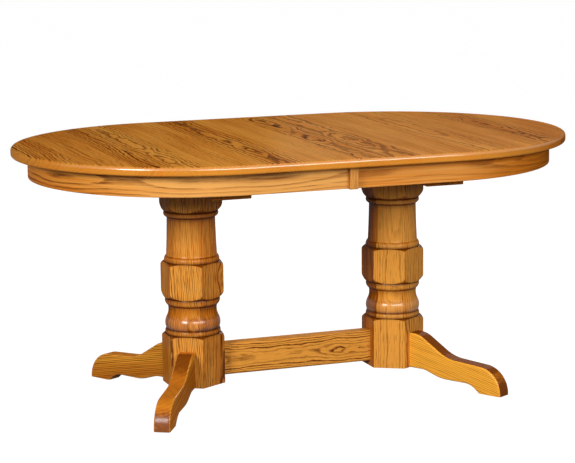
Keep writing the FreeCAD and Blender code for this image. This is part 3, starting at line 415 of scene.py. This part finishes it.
class Shape(Nodes):
    """A Geometry Nodes tree with named sizes, which turns a drawn outline into a piece."""

    def __init__(self, name, *size_names):
        super().__init__(bpy.data.node_groups.new(name, "GeometryNodeTree"))
        sockets = self.tree.interface
        sockets.new_socket("Outline", in_out="INPUT", socket_type="NodeSocketGeometry")
        self.sizes = {}
        for size_name in size_names:
            socket = sockets.new_socket(size_name, in_out="INPUT", socket_type="NodeSocketFloat")
            self.sizes[size_name] = socket.identifier
        sockets.new_socket("Piece", in_out="OUTPUT", socket_type="NodeSocketGeometry")
        self.group = self.node("NodeGroupInput")

    def input(self, name):
        return Value(self, self.group.outputs[name])

    def close(self, geometry, finish):
        """End the tree: plain mesh, smooth but for its sharp edges, with its finish."""
        realized = self.value("GeometryNodeRealizeInstances", inputs={"Geometry": geometry})
        flat = self.value("GeometryNodeInputMeshEdgeAngle") < SHARP_TURN
        rounded = self.value("GeometryNodeSetShadeSmooth", {"domain": "FACE"}, {"Geometry": realized})
        inputs = {"Geometry": rounded, "Shade Smooth": flat}
        edged = self.value("GeometryNodeSetShadeSmooth", {"domain": "EDGE"}, inputs)
        inputs = {"Geometry": edged, "Material": finish}
        self.node("NodeGroupOutput", inputs={0: self.value("GeometryNodeSetMaterial", inputs=inputs)})

    def make(self, name, outline, **sizes):
        """Run the tree on an outline, and keep the result as a plain mesh."""
        piece = bpy.data.objects.new(name, outline)
        bpy.context.scene.collection.objects.link(piece)
        modifier = piece.modifiers.new(name, "NODES")
        modifier.node_group = self.tree
        for size_name, size in sizes.items():
            modifier[self.sizes[size_name]] = size
        graph = bpy.context.evaluated_depsgraph_get()
        evaluated = piece.evaluated_get(graph)
        made = bpy.data.meshes.new_from_object(evaluated, preserve_all_data_layers=True, depsgraph=graph)
        piece.modifiers.clear()
        piece.data = made
        return piece


def screw_places(name):
    """Foot of each upright screw of a CAD node."""
    screws = []
    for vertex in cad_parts[name].data.vertices:
        spot = vertex.co.xy
        screw = next((spots for spots in screws if (spots[0] - spot).length < SCREW_REACH), None)
        if screw is None:
            screws.append([spot])
        else:
            screw.append(spot)
    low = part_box(name)[0].z
    places = []
    for spots in screws:
        across = [spot.x for spot in spots]
        along = [spot.y for spot in spots]
        places.append(((min(across) + max(across)) / 2, (min(along) + max(along)) / 2, low))
    return places


def screw_shape(name, finish, head_sides, driven_from_above):
    """Screws on points: a head with a cross recess or of six sides, a shank and a point."""
    shape = Shape(name, "Length", "Head radius", "Head height", "Shank radius")
    length, head_radius, head_height, shank_radius = (
        shape.input(size) for size in ("Length", "Head radius", "Head height", "Shank radius"))
    point_height = shank_radius * POINT_HEIGHT

    def moved(geometry, **inputs):
        return shape.value("GeometryNodeTransform", inputs={"Geometry": geometry, **inputs})

    def lifted(geometry, height):
        return moved(geometry, Translation=shape.vector(z=height))

    def cone(sides, low_radius, high_radius, height):
        return shape.value("GeometryNodeMeshCone", inputs={
            "Vertices": sides, "Radius Bottom": low_radius, "Radius Top": high_radius, "Depth": height})

    def joined(operation, **inputs):
        settings = {"operation": operation, "solver": "EXACT"}
        return shape.value("GeometryNodeMeshBoolean", settings, inputs)

    rim_height = head_height * RIM_HEIGHT
    shank_height = length - point_height - rim_height
    rim = cone(head_sides, head_radius * RIM_RADIUS, head_radius, rim_height)
    head = lifted(cone(head_sides, head_radius, head_radius, head_height - rim_height), rim_height)
    shank = lifted(cone(SHANK_SIDES, shank_radius, shank_radius, shank_height), rim_height)
    point = lifted(cone(SHANK_SIDES, shank_radius, 0.0, point_height), length - point_height)
    screw = joined("UNION", **{"Mesh 2": [rim, head, shank, point]})
    if driven_from_above:
        screw = moved(lifted(screw, 0.0 - length), Rotation=shape.vector(x=math.pi))
    else:
        recess_length = head_radius * RECESS_LENGTH
        recess_width = head_radius * RECESS_WIDTH
        recess_depth = head_height * RECESS_DEPTH
        bars = [shape.value("GeometryNodeMeshCube", inputs={"Size": size}) for size in (
            shape.vector(recess_length, recess_width, recess_depth),
            shape.vector(recess_width, recess_length, recess_depth))]
        screw = joined("DIFFERENCE", **{"Mesh 1": screw, "Mesh 2": bars})
    shape.close(shape.value("GeometryNodeInstanceOnPoints", inputs={
        "Points": shape.input("Outline"), "Instance": screw}), finish)
    return shape


def make_screws(steel):
    """Screws of the rails and the cleats, each set on its own body."""
    wood_screws = screw_shape("wood_screws", steel, PAN_HEAD_SIDES, False)
    lag_screws = screw_shape("lag_screws", steel, HEX_HEAD_SIDES, True)
    for name, body, shape, head, shank in (
            ("fixed_rail_screws", "base", wood_screws, WOOD_SCREW_HEAD, WOOD_SCREW_SHANK),
            ("left_rail_screws", "left_half", wood_screws, WOOD_SCREW_HEAD, WOOD_SCREW_SHANK),
            ("right_rail_screws", "right_half", wood_screws, WOOD_SCREW_HEAD, WOOD_SCREW_SHANK),
            ("cleat_lag_screws", "base", lag_screws, LAG_SCREW_HEAD, LAG_SCREW_SHANK)):
        low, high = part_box(name)
        spots = bpy.data.meshes.new(name)
        spots.from_pydata(screw_places(name), [], [])
        sizes = {"Length": high.z - low.z, "Head radius": head[0], "Head height": head[1],
                 "Shank radius": shank}
        screws = shape.make(name.replace("screws", "screw_set"), spots, **sizes)
        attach(screws, body)
        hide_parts(name)


def arc_points(start, end, rise):
    """Points along an arc after its start. It bulges to the right of its way when the rise is positive."""
    if rise == 0:
        return [start.lerp(end, step / ARC_STEPS) for step in range(1, ARC_STEPS + 1)]
    chord = end - start
    right = Vector((chord.y, -chord.x)).normalized()
    radius = ((chord.length / 2) ** 2 + rise ** 2) / (2 * rise)
    centre = (start + end) / 2 + right * (rise - radius)
    sweep = 2 * math.asin(chord.length / 2 / radius)
    points = []
    for step in range(1, ARC_STEPS + 1):
        spoke = (start - centre).copy()
        spoke.rotate(Matrix.Rotation(sweep * step / ARC_STEPS, 2))
        points.append(centre + spoke)
    return points


def turned_length(low, height, corners, last_rise):
    """Outline of a turned length between two blocks, as radius and height."""
    points = [Vector((BLOCK_RADIUS, low))]
    stops = [(HALF_FLATS * radius, low + height * share, height * rise) for share, radius, rise in corners]
    stops.append((BLOCK_RADIUS, low + height, height * last_rise))
    for radius, level, rise in stops:
        points += arc_points(points[-1], Vector((radius, level)), rise)
    return points


def groove_shares(points):
    """How deep in a groove each point of an outline lies, from 0 to 1, where staining and polish gather and the
    finish paints shade.
    """
    way = [0.0]
    for before, after in zip(points, points[1:]):
        way.append(way[-1] + (after - before).length)
    grooves = []
    for index in range(1, len(points) - 1):
        turn = (points[index] - points[index - 1]).angle_signed(points[index + 1] - points[index])
        if turn > SHARP_TURN:
            grooves.append((way[index], min(1.0, turn)))
    return [max(depth * math.exp(-abs(place - spot) / GROOVE_REACH) for spot, depth in grooves)
            for place in way]


def stave_outline():
    """Closed section of a stave from its bore to its turned face, marked where it is grooved."""
    waist_low = COLUMN_LOW.z + BASE_BLOCK_HEIGHT
    shaft_low = waist_low + WAIST_HEIGHT + MID_BLOCK_HEIGHT
    face = [Vector((BLOCK_RADIUS, COLUMN_LOW.z))]
    face += turned_length(waist_low, WAIST_HEIGHT, WAIST_CORNERS, WAIST_LAST_RISE)
    face += turned_length(shaft_low, SHAFT_HEIGHT, SHAFT_CORNERS, SHAFT_LAST_RISE)
    face.append(Vector((BLOCK_RADIUS, COLUMN_HIGH.z)))
    grooves = groove_shares(face)
    bore = HALF_FLATS - STAVE_THICKNESS
    points = face + [Vector((bore, COLUMN_HIGH.z)), Vector((bore, COLUMN_LOW.z))]
    outline = bpy.data.meshes.new("stave_outline")
    edges = [(index, (index + 1) % len(points)) for index in range(len(points))]
    outline.from_pydata([(point.x, point.y, 0.0) for point in points], edges, [])
    marks = outline.attributes.new("groove", "FLOAT", "POINT")
    marks.data.foreach_set("value", grooves + [0.0, 0.0])
    return outline


def column_shape(finish):
    """Staves of a pedestal: a section swept through its share of the turn, cut flat and set in a ring."""
    shape = Shape("pedestal_staves", "Pedestal X", "Half flats", "Bore", "Arris ease")
    section = shape.value("GeometryNodeMeshToCurve", inputs={"Mesh": shape.input("Outline")})
    line = shape.value("GeometryNodeCurvePrimitiveLine", inputs={
        "Start": (0.0, 0.0, -HALF_STAVE), "End": (0.0, 0.0, HALF_STAVE)})
    sweep = shape.value("GeometryNodeResampleCurve", inputs={"Curve": line, "Count": STAVE_STEPS + 1})
    blank = shape.value("GeometryNodeCurveToMesh", inputs={
        "Curve": sweep, "Profile Curve": section, "Fill Caps": True})
    radius, height, angle = shape.parts(shape.value("GeometryNodeInputPosition"))
    cosine = shape.maths("COSINE", angle)
    flat = shape.input("Half flats") / cosine
    turned = shape.maths("SMOOTH_MIN", radius, flat, shape.input("Arris ease"))
    bore = radius < shape.input("Bore") * BORE_SLACK
    reach = bore * (radius / cosine) + (1.0 - bore) * turned
    wrapped = shape.vector(reach * cosine, reach * shape.maths("SINE", angle), height)
    inside_out = shape.value("GeometryNodeSetPosition", inputs={"Geometry": blank, "Position": wrapped})
    stave = shape.value("GeometryNodeFlipFaces", inputs={"Mesh": inside_out})
    ring = shape.value("GeometryNodePoints", inputs={"Count": STAVES})
    turn = shape.value("GeometryNodeInputIndex") * (math.tau / STAVES)
    staves = shape.value("GeometryNodeInstanceOnPoints", inputs={
        "Points": ring, "Instance": stave, "Rotation": shape.vector(z=turn)})
    placed = shape.value("GeometryNodeTransform", inputs={
        "Geometry": staves, "Translation": shape.vector(x=shape.input("Pedestal X"))})
    shape.close(placed, finish)
    return shape


def make_columns():
    """Columns of both pedestals, from one section."""
    shape = column_shape(column_oak())
    outline = stave_outline()
    for side, sign in (("left", -1), ("right", 1)):
        sizes = {"Pedestal X": sign * PEDESTAL_X, "Half flats": HALF_FLATS,
                 "Bore": HALF_FLATS - STAVE_THICKNESS, "Arris ease": ARRIS_EASE}
        column = shape.make(f"{side}_pedestal_staves", outline, **sizes)
        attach(column, "base")
        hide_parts(f"{side}_pedestal_column")


def oak_figure(oak, along, across, depth, heart_across, heart_depth, seed, spacing, jag_size, dip_size, fade,
               flecks=0.3, gaps=0.08):
    """Dark ring lines, pores and slow drift of a board, from the rings round the log's heart.

    The numbers beside the seed only keep the noises apart.
    """

    def grain(waves, shift=0.0, detail=2.0):
        """Noise drawn out along the grain."""
        lengthwise, crosswise = waves
        return oak.noise(along * lengthwise + shift, across * crosswise, depth * crosswise, detail)

    sway = oak.noise(along * SWAY_WAVES, seed * 31.0, 0.0) * SWAY_SIZE
    dip = oak.noise(along * DIP_WAVES, seed * 47.0, 5.0) * dip_size
    jag_along, jag_across = JAG_WAVES
    jag = oak.noise(along * jag_along, across * jag_across, depth * jag_across + seed * 9.0, 3.0) * jag_size
    side = across - heart_across - sway
    below = depth + heart_depth + dip
    radius = oak.maths("SQRT", side * side + below * below) + jag
    years = oak.noise(radius * YEAR_WAVES, seed * 17.0, 2.0)
    rings = radius / spacing + years * YEAR_SPREAD
    ring = rings % 1.0
    vivid = oak.chance(oak.maths("FLOOR", rings), seed)
    early = oak.ramp(ring, 0.0, 0.08) * (1.0 - oak.ramp(ring, 0.10, fade))
    pores = oak.ramp(grain(FIBRE_WAVES), 0.0, 0.14)
    broken = oak.ramp(grain(GAP_WAVES, detail=3.0), gaps - 0.28, gaps + 0.1)
    fleck = oak.ramp(grain(FLECK_WAVES, seed * 11.0), 0.02, 0.22)
    line = early * (0.45 + 1.1 * vivid) * broken * (0.75 + 0.4 * pores) + fleck * flecks
    drift = grain(DRIFT_WAVES, seed * 13.0)
    streak = grain(STREAK_WAVES, seed * 7.0, detail=3.0)
    return line, pores * (0.2 + 0.8 * early), drift + streak * STREAK_SHARE


def oak_finish(oak, figure, tone, strength, coat, pale=PALE_OAK, groove=None):
    """Lacquered oak: pale to honey ground, brown ring lines, dark pores and a satin coat."""
    line, pores, drift = figure
    light = tone - drift
    ground = oak.mix(oak.ramp(light, 0.15, 0.85), HONEY_OAK, pale)
    stained = oak.mix(oak.ramp(light, 0.15, -0.25) * 0.8, ground, BROWN_OAK)
    lined = oak.mix(line * strength * 1.15, stained, BROWN_OAK)
    colour = oak.mix(pores * (0.15 + 0.45 * strength), lined, PORE_BROWN)
    # Grooves darken towards pore brown, as stain and as painted shade.
    if groove is not None:
        colour = oak.mix(groove * 0.9, colour, PORE_BROWN)
    relief = oak.value("ShaderNodeBump", inputs={
        "Strength": PORE_RELIEF, "Distance": PORE_DEPTH, "Height": 1.0 - pores})
    return oak.close(oak.node("ShaderNodeBsdfPrincipled", inputs={
        "Base Color": colour,
        "Roughness": 0.42 + pores * 0.2,
        "Normal": relief,
        "Specular IOR Level": 0.0,
        "Coat Weight": coat,
        "Coat Roughness": LACQUER_ROUGHNESS,
        "Coat IOR": LACQUER_IOR,
    }))


def top_oak():
    """Boards glued edge to edge across the table, each from its own log, with a quiet rounded edge that carries
    painted shade at the table's right end.
    """
    oak = Finish("oak_top_boards")
    x, y, z = oak.place()
    starts = [sum(board[0] for board in TOP_BOARDS[:index]) for index in range(len(TOP_BOARDS))]
    rows = [(start, *board[1:]) for start, board in zip(starts, TOP_BOARDS)]
    heart, heart_depth, tone, strength = oak.row(rows, x / TABLE_LENGTH + 0.5)
    facing_x, facing_y, facing_z = oak.facing()
    edge = oak.ramp(abs(facing_z), 0.97, 0.75)
    figure = oak_figure(
        oak, y * TOP_ALONG, x, z - TOP_HIGH.z,
        heart_across=(heart - 0.5) * TABLE_LENGTH, heart_depth=heart_depth * HEART_DEPTH, seed=heart,
        spacing=WIDE_RINGS, jag_size=0.013, dip_size=0.075, fade=0.6, flecks=0.05, gaps=-0.1)
    pale = oak.mix(edge, PALE_OAK, EDGE_OAK)
    upper_edge = oak.ramp(facing_z, 0.04, 0.16) * oak.ramp(facing_z, 0.9, 0.6)
    shine = upper_edge * oak.ramp(abs(facing_y), 0.35, 0.6)
    # The rounded edge facing the table's right end is painted darker, as painted shade, and has less coat
    # there.
    shaded_right_end = oak.ramp(facing_x, 0.45, 0.8)
    light = tone - 0.04 + (0.2 - 0.5 * shaded_right_end) * edge
    coat = 0.008 + (0.04 * edge + 0.5 * shine) * (1.0 - shaded_right_end)
    plain_edge = strength * (1.55 - 1.35 * edge)
    return oak_finish(oak, figure, tone=light, strength=plain_edge, coat=coat, pale=pale)


def apron_oak():
    """Long boards bent round the ends, with the grain along the bend. They turn warmer and darker towards the
    bends, as wood tone and as painted shade, and the right half is painted darker still, most at its bend.
    """
    oak = Finish("oak_apron_bend")
    x, y, z = oak.place()
    past = oak.maths("MAXIMUM", abs(x) - END_CENTRE, 0.0)
    straight = oak.maths("MINIMUM", abs(x), END_CENTRE)
    behind = y > 0.0
    bend = oak.maths("ARCTAN2", past, 0.0 - y)
    along = bend * APRON_RADIUS + straight + behind * 2.0 * (END_CENTRE - straight)
    depth = oak.maths("SQRT", past * past + y * y) - APRON_RADIUS
    right = x > 0.0
    middle = (APRON_LOW.z + APRON_HIGH.z) / 2
    figure = oak_figure(
        oak, along * APRON_ALONG, z, depth,
        heart_across=middle + 0.012, heart_depth=0.04, seed=0.31 + right * 0.4,
        spacing=APRON_RINGS, jag_size=0.004, dip_size=0.07, fade=0.55, flecks=0.06, gaps=0.0)
    # Warmer and darker towards each bend, as wood tone and as painted shade where the bends turn from the
    # lamps; the right half gets more painted shade, most at its bend.
    bend_warmth_and_shade = oak.ramp(along, 0.45 - 0.2 * right, 0.95 - 0.25 * right)
    tone = 0.68 - 0.38 * bend_warmth_and_shade - (0.14 + 0.09 * bend_warmth_and_shade) * right
    strength = 0.35 + (1.0 - right) * (0.35 + 0.6 * bend_warmth_and_shade)
    coat = 0.045 - 0.04 * bend_warmth_and_shade * right
    pale = oak.mix(bend_warmth_and_shade, FLAXEN_OAK, PALE_OAK)
    return oak_finish(oak, figure, tone=tone, strength=strength, coat=coat, pale=pale)


def knot_figure(oak, number, across, z):
    """Swing of the grain round the knots, and the shade of their dark ring and heart."""
    swings = []
    shades = []
    for stave, place, height, reach, swing in KNOTS:
        side = (across - place) / reach
        up = (z - COLUMN_LOW.z - height) / reach * KNOT_UPWARD
        far = side * side + up * up
        past_ring = (oak.maths("SQRT", far) - 1.0) * KNOT_RING_SHARPNESS
        ring = oak.maths("EXPONENT", 0.0 - past_ring * past_ring)
        heart = oak.maths("EXPONENT", far * -KNOT_HEART_SHARPNESS)
        hill = oak.maths("EXPONENT", 0.0 - far)
        here = abs(number - stave) < 0.5
        swings.append(here * hill * swing)
        shades.append(here * (ring + heart - KNOT_PALENESS * hill))
    return sum(swings), sum(shades)


def column_oak():
    """Six staves round each pedestal, each with its own upright grain, shiny on the waist's bulge, with stain
    and painted shade in the turned grooves and a painted shadow on the left column's turned parts.
    """
    oak = Finish("oak_pedestal_staves")
    x, y, z = oak.place()
    right = x > 0.0
    out = x - (right * 2.0 - 1.0) * PEDESTAL_X
    angle = oak.maths("ARCTAN2", y, out)
    stave = oak.maths("ROUND", angle * (STAVES / math.tau))
    turn = stave * (math.tau / STAVES)
    cosine = oak.maths("COSINE", turn)
    sine = oak.maths("SINE", turn)
    depth = out * cosine + y * sine - HALF_FLATS
    across = y * cosine - out * sine
    number = stave % STAVES + right * STAVES
    rows = [(index / len(STAVE_ROWS), *row) for index, row in enumerate(STAVE_ROWS)]
    heart, tone, strength, rings = oak.row(rows, (number + 0.5) / len(STAVE_ROWS))
    seed = oak.chance(number)
    groove = oak.value("ShaderNodeAttribute", {"attribute_name": "groove"}, output="Fac")
    end_grain = oak.ramp(abs(oak.facing()[2]), 0.3, 0.95)
    slant = (z - COLUMN_MIDDLE) * (0.5 - heart) * STAVE_SLOPE
    swing, knot_shade = knot_figure(oak, number, across, z)
    figure = oak_figure(
        oak, z, across + slant + swing, depth * STAVE_INTO,
        heart_across=(heart - 0.5) * HEART_SPREAD, heart_depth=0.05 + seed * 0.06, seed=seed,
        spacing=rings * WIDEST_STAVE_RINGS, jag_size=0.003, dip_size=0.022, fade=0.5, flecks=0.6, gaps=-0.02)
    band_along, band_across, band_into = BAND_WAVES
    band = oak.noise(z * band_along + seed * 5.0, across * band_across, depth * band_into) * BAND_SHARE
    # Grooves darken as stain and as painted shade.
    groove_stain_and_shade = GROOVE_STAIN_AND_SHADE * oak.maths("POWER", groove, GROOVE_FADE)
    turned = oak.ramp(oak.maths("SQRT", out * out + y * y), HALF_FLATS, HALF_FLATS * TURNED_FACE)
    waist = (z - COLUMN_LOW.z - BASE_BLOCK_HEIGHT) / WAIST_HEIGHT
    bulge_foot = oak.ramp(waist, *BULGE_FOOT)
    bulge = bulge_foot * oak.ramp(waist, *BULGE_TOP)
    gloss = bulge_foot * oak.ramp(waist, *GLOSS_TOP)
    neck = oak.ramp(waist, *NECK_FOOT) * oak.ramp(waist, *NECK_TOP)
    # The left column's turned parts are painted darker, as a painted shadow of the apron.
    shade = end_grain + groove_stain_and_shade + 0.22 * bulge + 0.18 * turned * (1.0 - right) + 0.45 * knot_shade
    coat = 0.05 + turned * (0.02 + 0.2 * gloss - 0.06 * neck)
    plain_turned = strength * (1.0 - 0.4 * turned)
    return oak_finish(oak, figure, tone=tone + band - shade, strength=plain_turned, coat=coat, groove=groove)


def foot_oak():
    """Feet sawn with the grain along them, the toe darker as end grain. The tops carry painted shade, deepest
    by the column and on the right front foot, whose toe carries painted shade too; the arrises carry a painted
    highlight.
    """
    oak = Finish("oak_feet")
    x, y, z = oak.place()
    cosine = math.cos(FOOT_ANGLE)
    sine = math.sin(FOOT_ANGLE)
    out = abs(x) - PEDESTAL_X
    along = out * cosine + abs(y) * sine
    depth = abs(y) * cosine - out * sine
    right = x > 0.0
    back = y > 0.0
    right_front = right * (1.0 - back)
    rows = [(index / len(FOOT_ROWS), *row) for index, row in enumerate(FOOT_ROWS)]
    heart, tone, strength, _ = oak.row(rows, (right * 2.0 + back + 0.5) / len(FOOT_ROWS))
    facing_x, facing_y, facing_z = oak.facing()
    facing_end = facing_x * (right * 2.0 - 1.0)
    facing_flank = facing_y * (back * 2.0 - 1.0)
    toe = oak.ramp(facing_end * cosine + facing_flank * sine, 0.6, 0.98)
    upper = oak.ramp(facing_z, 0.45, 0.9)
    plain = 1.0 - 0.85 * oak.maths("MAXIMUM", toe, upper)
    facing_side = abs(facing_end * sine - facing_flank * cosine)
    arris = oak.ramp(facing_side, 0.3, 0.6) * oak.ramp(facing_side, 0.98, 0.88)
    line, pores, drift = oak_figure(
        oak, along * FOOT_ALONG, z + along * FOOT_SLOPE, depth * FOOT_INTO,
        heart_across=heart * FOOT_HEART, heart_depth=0.04, seed=heart,
        spacing=FOOT_RINGS, jag_size=0.002, dip_size=0.02, fade=0.5, flecks=0.3, gaps=-0.08)
    figure = line * plain, pores * plain, drift * (1.0 - 0.6 * upper)
    # The tops carry painted shade, deepest at the root by the column and on the right front foot, and none
    # along the arris; on the left feet the end of the root is left lighter, as a painted highlight.
    painted_root_shade = oak.ramp(along, *FOOT_ROOT_SHADE) * (1.0 - (1.0 - right) * oak.ramp(along, *FOOT_END_HIGHLIGHT))
    upper_shade = (0.15 + 0.6 * painted_root_shade + 1.2 * right_front) * upper * (1.0 - arris)
    # The toe darkens as end grain; the right front foot's toe gets more, which is painted shade.
    shade = (0.65 + 0.75 * right_front) * toe + upper_shade
    # The arris is painted lighter, as a painted highlight, most on the right feet.
    light = tone - shade + (0.1 + 0.2 * right) * arris
    coat = 0.02 + (0.16 - 0.15 * right_front) * toe + 0.1 * arris
    return oak_finish(oak, figure, tone=light, strength=strength, coat=coat, pale=AMBER_OAK)


def board_oak(name, along_axis, face_axis, face, heart_across, heart_depth, tone, twin_axis=None,
              rings=CLOSE_RINGS, jag_size=0.005, pale=PALE_OAK):
    """A straight board with its grain along one axis and its show face across another.

    Boards in pairs differ by the side of the twin axis they lie on.
    """
    oak = Finish(name)
    place = dict(zip("xyz", oak.place()))
    across_axis = next(axis for axis in "xyz" if axis not in (along_axis, face_axis))
    seed = 0.37
    if twin_axis:
        seed = seed + (place[twin_axis] > 0.0) * 0.21
    figure = oak_figure(
        oak, place[along_axis], place[across_axis], place[face_axis] - face,
        heart_across=heart_across, heart_depth=heart_depth, seed=seed,
        spacing=rings, jag_size=jag_size, dip_size=0.05, fade=0.55, flecks=0.2, gaps=-0.05)
    return oak_finish(oak, figure, tone=tone, strength=0.95, coat=0.03, pale=pale)


def plain_finish(name, colour, roughness, metallic=0.0, speckle=0.06):
    """A plain material with a faint mottle in colour and gloss."""
    plain = Finish(name)
    x, y, z = plain.place()
    mottle = plain.noise(x * MOTTLE_WAVES, y * MOTTLE_WAVES, z * MOTTLE_WAVES, 3.0)
    dark = tuple(channel * (1 - 4 * speckle) for channel in colour[:3]) + (1.0,)
    return plain.close(plain.node("ShaderNodeBsdfPrincipled", inputs={
        "Base Color": plain.mix(0.5 + mottle, dark, colour),
        "Roughness": roughness + mottle * 0.2,
        "Metallic": metallic,
    }))


def rail_maple():
    """Straight, pale maple of the slides, with its grain along them."""
    maple = Finish("maple_rails")
    x, y, z = maple.place()
    line, pores, drift = oak_figure(
        maple, x, z, y, heart_across=APRON_LOW.z - 0.05, heart_depth=0.03, seed=0.42,
        spacing=CLOSE_RINGS, jag_size=0.001, dip_size=0.01, fade=0.5)
    ground = maple.mix(maple.ramp(drift, -0.35, 0.35), CREAM_MAPLE, TAN_MAPLE)
    return maple.close(maple.node("ShaderNodeBsdfPrincipled", inputs={
        "Base Color": maple.mix(line * 0.25 + pores * 0.1, ground, BROWN_MAPLE),
        "Roughness": 0.5 + pores * 0.1,
    }))


def dress(finish, *names):
    """Give CAD nodes a finish."""
    for name in names:
        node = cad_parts[name]
        if not node.material_slots:
            node.data.materials.append(finish)
        for slot in node.material_slots:
            slot.material = finish


def dress_table():
    """Give every CAD node its finish, and make the screws."""
    sides = ("left", "right")
    ends = ("front", "back")
    dress(top_oak(), "left_top", "right_top")
    dress(apron_oak(), "left_apron", "right_apron")
    dress(foot_oak(), *(f"{side}_{end}_foot" for side in sides for end in ends))
    stretcher_low, stretcher_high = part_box("stretcher")
    stretcher_middle = (stretcher_low.z + stretcher_high.z) / 2
    stretcher_oak = board_oak(
        "oak_stretcher", "x", "y", stretcher_low.y, heart_across=stretcher_middle, heart_depth=0.035,
        tone=0.84, rings=STRETCHER_RINGS, jag_size=0.009)
    dress(stretcher_oak, "stretcher")
    cover_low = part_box("left_seam_cover")[0]
    cover_oak = board_oak(
        "oak_seam_cover", "z", "y", cover_low.y, heart_across=0.06, heart_depth=0.02,
        tone=0.5, twin_axis="y", pale=FLAXEN_OAK)
    dress(cover_oak, "left_seam_cover", "right_seam_cover")
    cleat_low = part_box("right_cleat")[0]
    cleat_oak = board_oak(
        "oak_cleat", "y", "z", cleat_low.z, heart_across=PEDESTAL_X, heart_depth=0.05,
        tone=0.3, twin_axis="x")
    dress(cleat_oak, "left_cleat", "right_cleat")
    steel = plain_finish("zinc_steel", STEEL_GREY, roughness=0.35, metallic=1.0)
    nylon = plain_finish("nylon", NYLON_CREAM, roughness=0.45)
    maple = rail_maple()
    plastic = plain_finish("glide_plastic", GLIDE_BROWN, roughness=0.5)
    make_screws(steel)
    # The first row with a word of the node's name counts. "glue_blocks" holds "lock", and so takes steel.
    words_by_finish = (
        (steel, ("bolt", "screw", "axle", "lock")),
        (nylon, ("pinion", "rack")),
        (maple, ("rail", "pins")),
        (plastic, ("glide",)),
    )
    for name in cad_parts:
        for finish, words in words_by_finish:
            if any(word in name for word in words):
                dress(finish, name)
                break


def seen_directly(nodes):
    """1 for the rays that show the background or its mirror image, 0 for those that only light things."""
    path = nodes.node("ShaderNodeLightPath")
    rays = [Value(nodes, path.outputs[f"Is {kind} Ray"]) for kind in ("Camera", "Glossy", "Transmission")]
    return nodes.maths("MAXIMUM", nodes.maths("MAXIMUM", rays[0], rays[1]), rays[2])


def make_floor():
    """Pale floor that shows as white outside the table's shadow."""
    corners = [(across * FLOOR_SIZE, along * FLOOR_SIZE, 0.0)
               for across, along in ((-1, -1), (1, -1), (1, 1), (-1, 1))]
    mesh = bpy.data.meshes.new("floor")
    mesh.from_pydata(corners, [], [(0, 1, 2, 3)])
    floor = bpy.data.objects.new("floor", mesh)
    bpy.context.scene.collection.objects.link(floor)
    paint = Finish("pale_floor")
    matte = paint.value("ShaderNodeBsdfDiffuse", inputs={"Color": FLOOR_GREY})
    glow = paint.value("ShaderNodeEmission", inputs={"Color": FLOOR_GLOW})
    lit = paint.value("ShaderNodeAddShader", inputs={0: matte, 1: glow})
    shown = paint.node("ShaderNodeMixShader", inputs={0: seen_directly(paint), 1: matte, 2: lit})
    mesh.materials.append(paint.close(shown))


def aimed(azimuth, elevation, distance, roll=0.0):
    """Place and turn of a lamp or camera that looks at the table's middle."""
    turn = (Matrix.Rotation(azimuth + math.pi / 2, 4, "Z")
            @ Matrix.Rotation(math.pi / 2 - elevation, 4, "X")
            @ Matrix.Rotation(roll, 4, "Z"))
    return Matrix.Translation(CAMERA_TARGET + turn.col[2].xyz * distance) @ turn


def softbox(name, azimuth, elevation, distance, width, height, power):
    """Soft lamp that faces the table's middle."""
    lamp = bpy.data.lights.new(name, "AREA")
    lamp.shape = "RECTANGLE"
    lamp.size = width
    lamp.size_y = height
    lamp.energy = power
    holder = bpy.data.objects.new(name, lamp)
    holder.matrix_world = aimed(azimuth, elevation, distance)
    holder.visible_camera = False
    bpy.context.scene.collection.objects.link(holder)


def light_table():
    """Soft lamps round the table, and a faint even light from a room that shows as white."""
    world = bpy.data.worlds.new("studio")
    world.use_nodes = True
    bpy.context.scene.world = world
    room = Nodes(world.node_tree)
    dim = room.value("ShaderNodeBackground", inputs={"Color": ROOM_WHITE, "Strength": ROOM_LIGHT})
    bright = room.value("ShaderNodeBackground", inputs={"Color": ROOM_WHITE, "Strength": ROOM_SHOWN})
    shown = room.value("ShaderNodeMixShader", inputs={0: seen_directly(room), 1: dim, 2: bright})
    room.node("ShaderNodeOutputWorld", inputs={"Surface": shown})
    for name, azimuth, elevation, *sizes in LAMPS:
        softbox(name, CAMERA_AZIMUTH + math.radians(azimuth), math.radians(elevation), *sizes)


def make_camera():
    """Camera that sees the table as the picture does."""
    camera = bpy.data.cameras.new("camera")
    camera.sensor_width = SENSOR_WIDTH
    camera.lens = FOCAL_PIXELS / IMAGE_WIDTH * SENSOR_WIDTH
    holder = bpy.data.objects.new("camera", camera)
    holder.matrix_world = aimed(CAMERA_AZIMUTH, CAMERA_ELEVATION, CAMERA_DISTANCE, CAMERA_ROLL)
    bpy.context.scene.collection.objects.link(holder)
    bpy.context.scene.camera = holder
    bpy.context.scene.view_settings.view_transform = "Standard"


dress_table()
make_columns()
make_floor()
light_table()
make_camera()
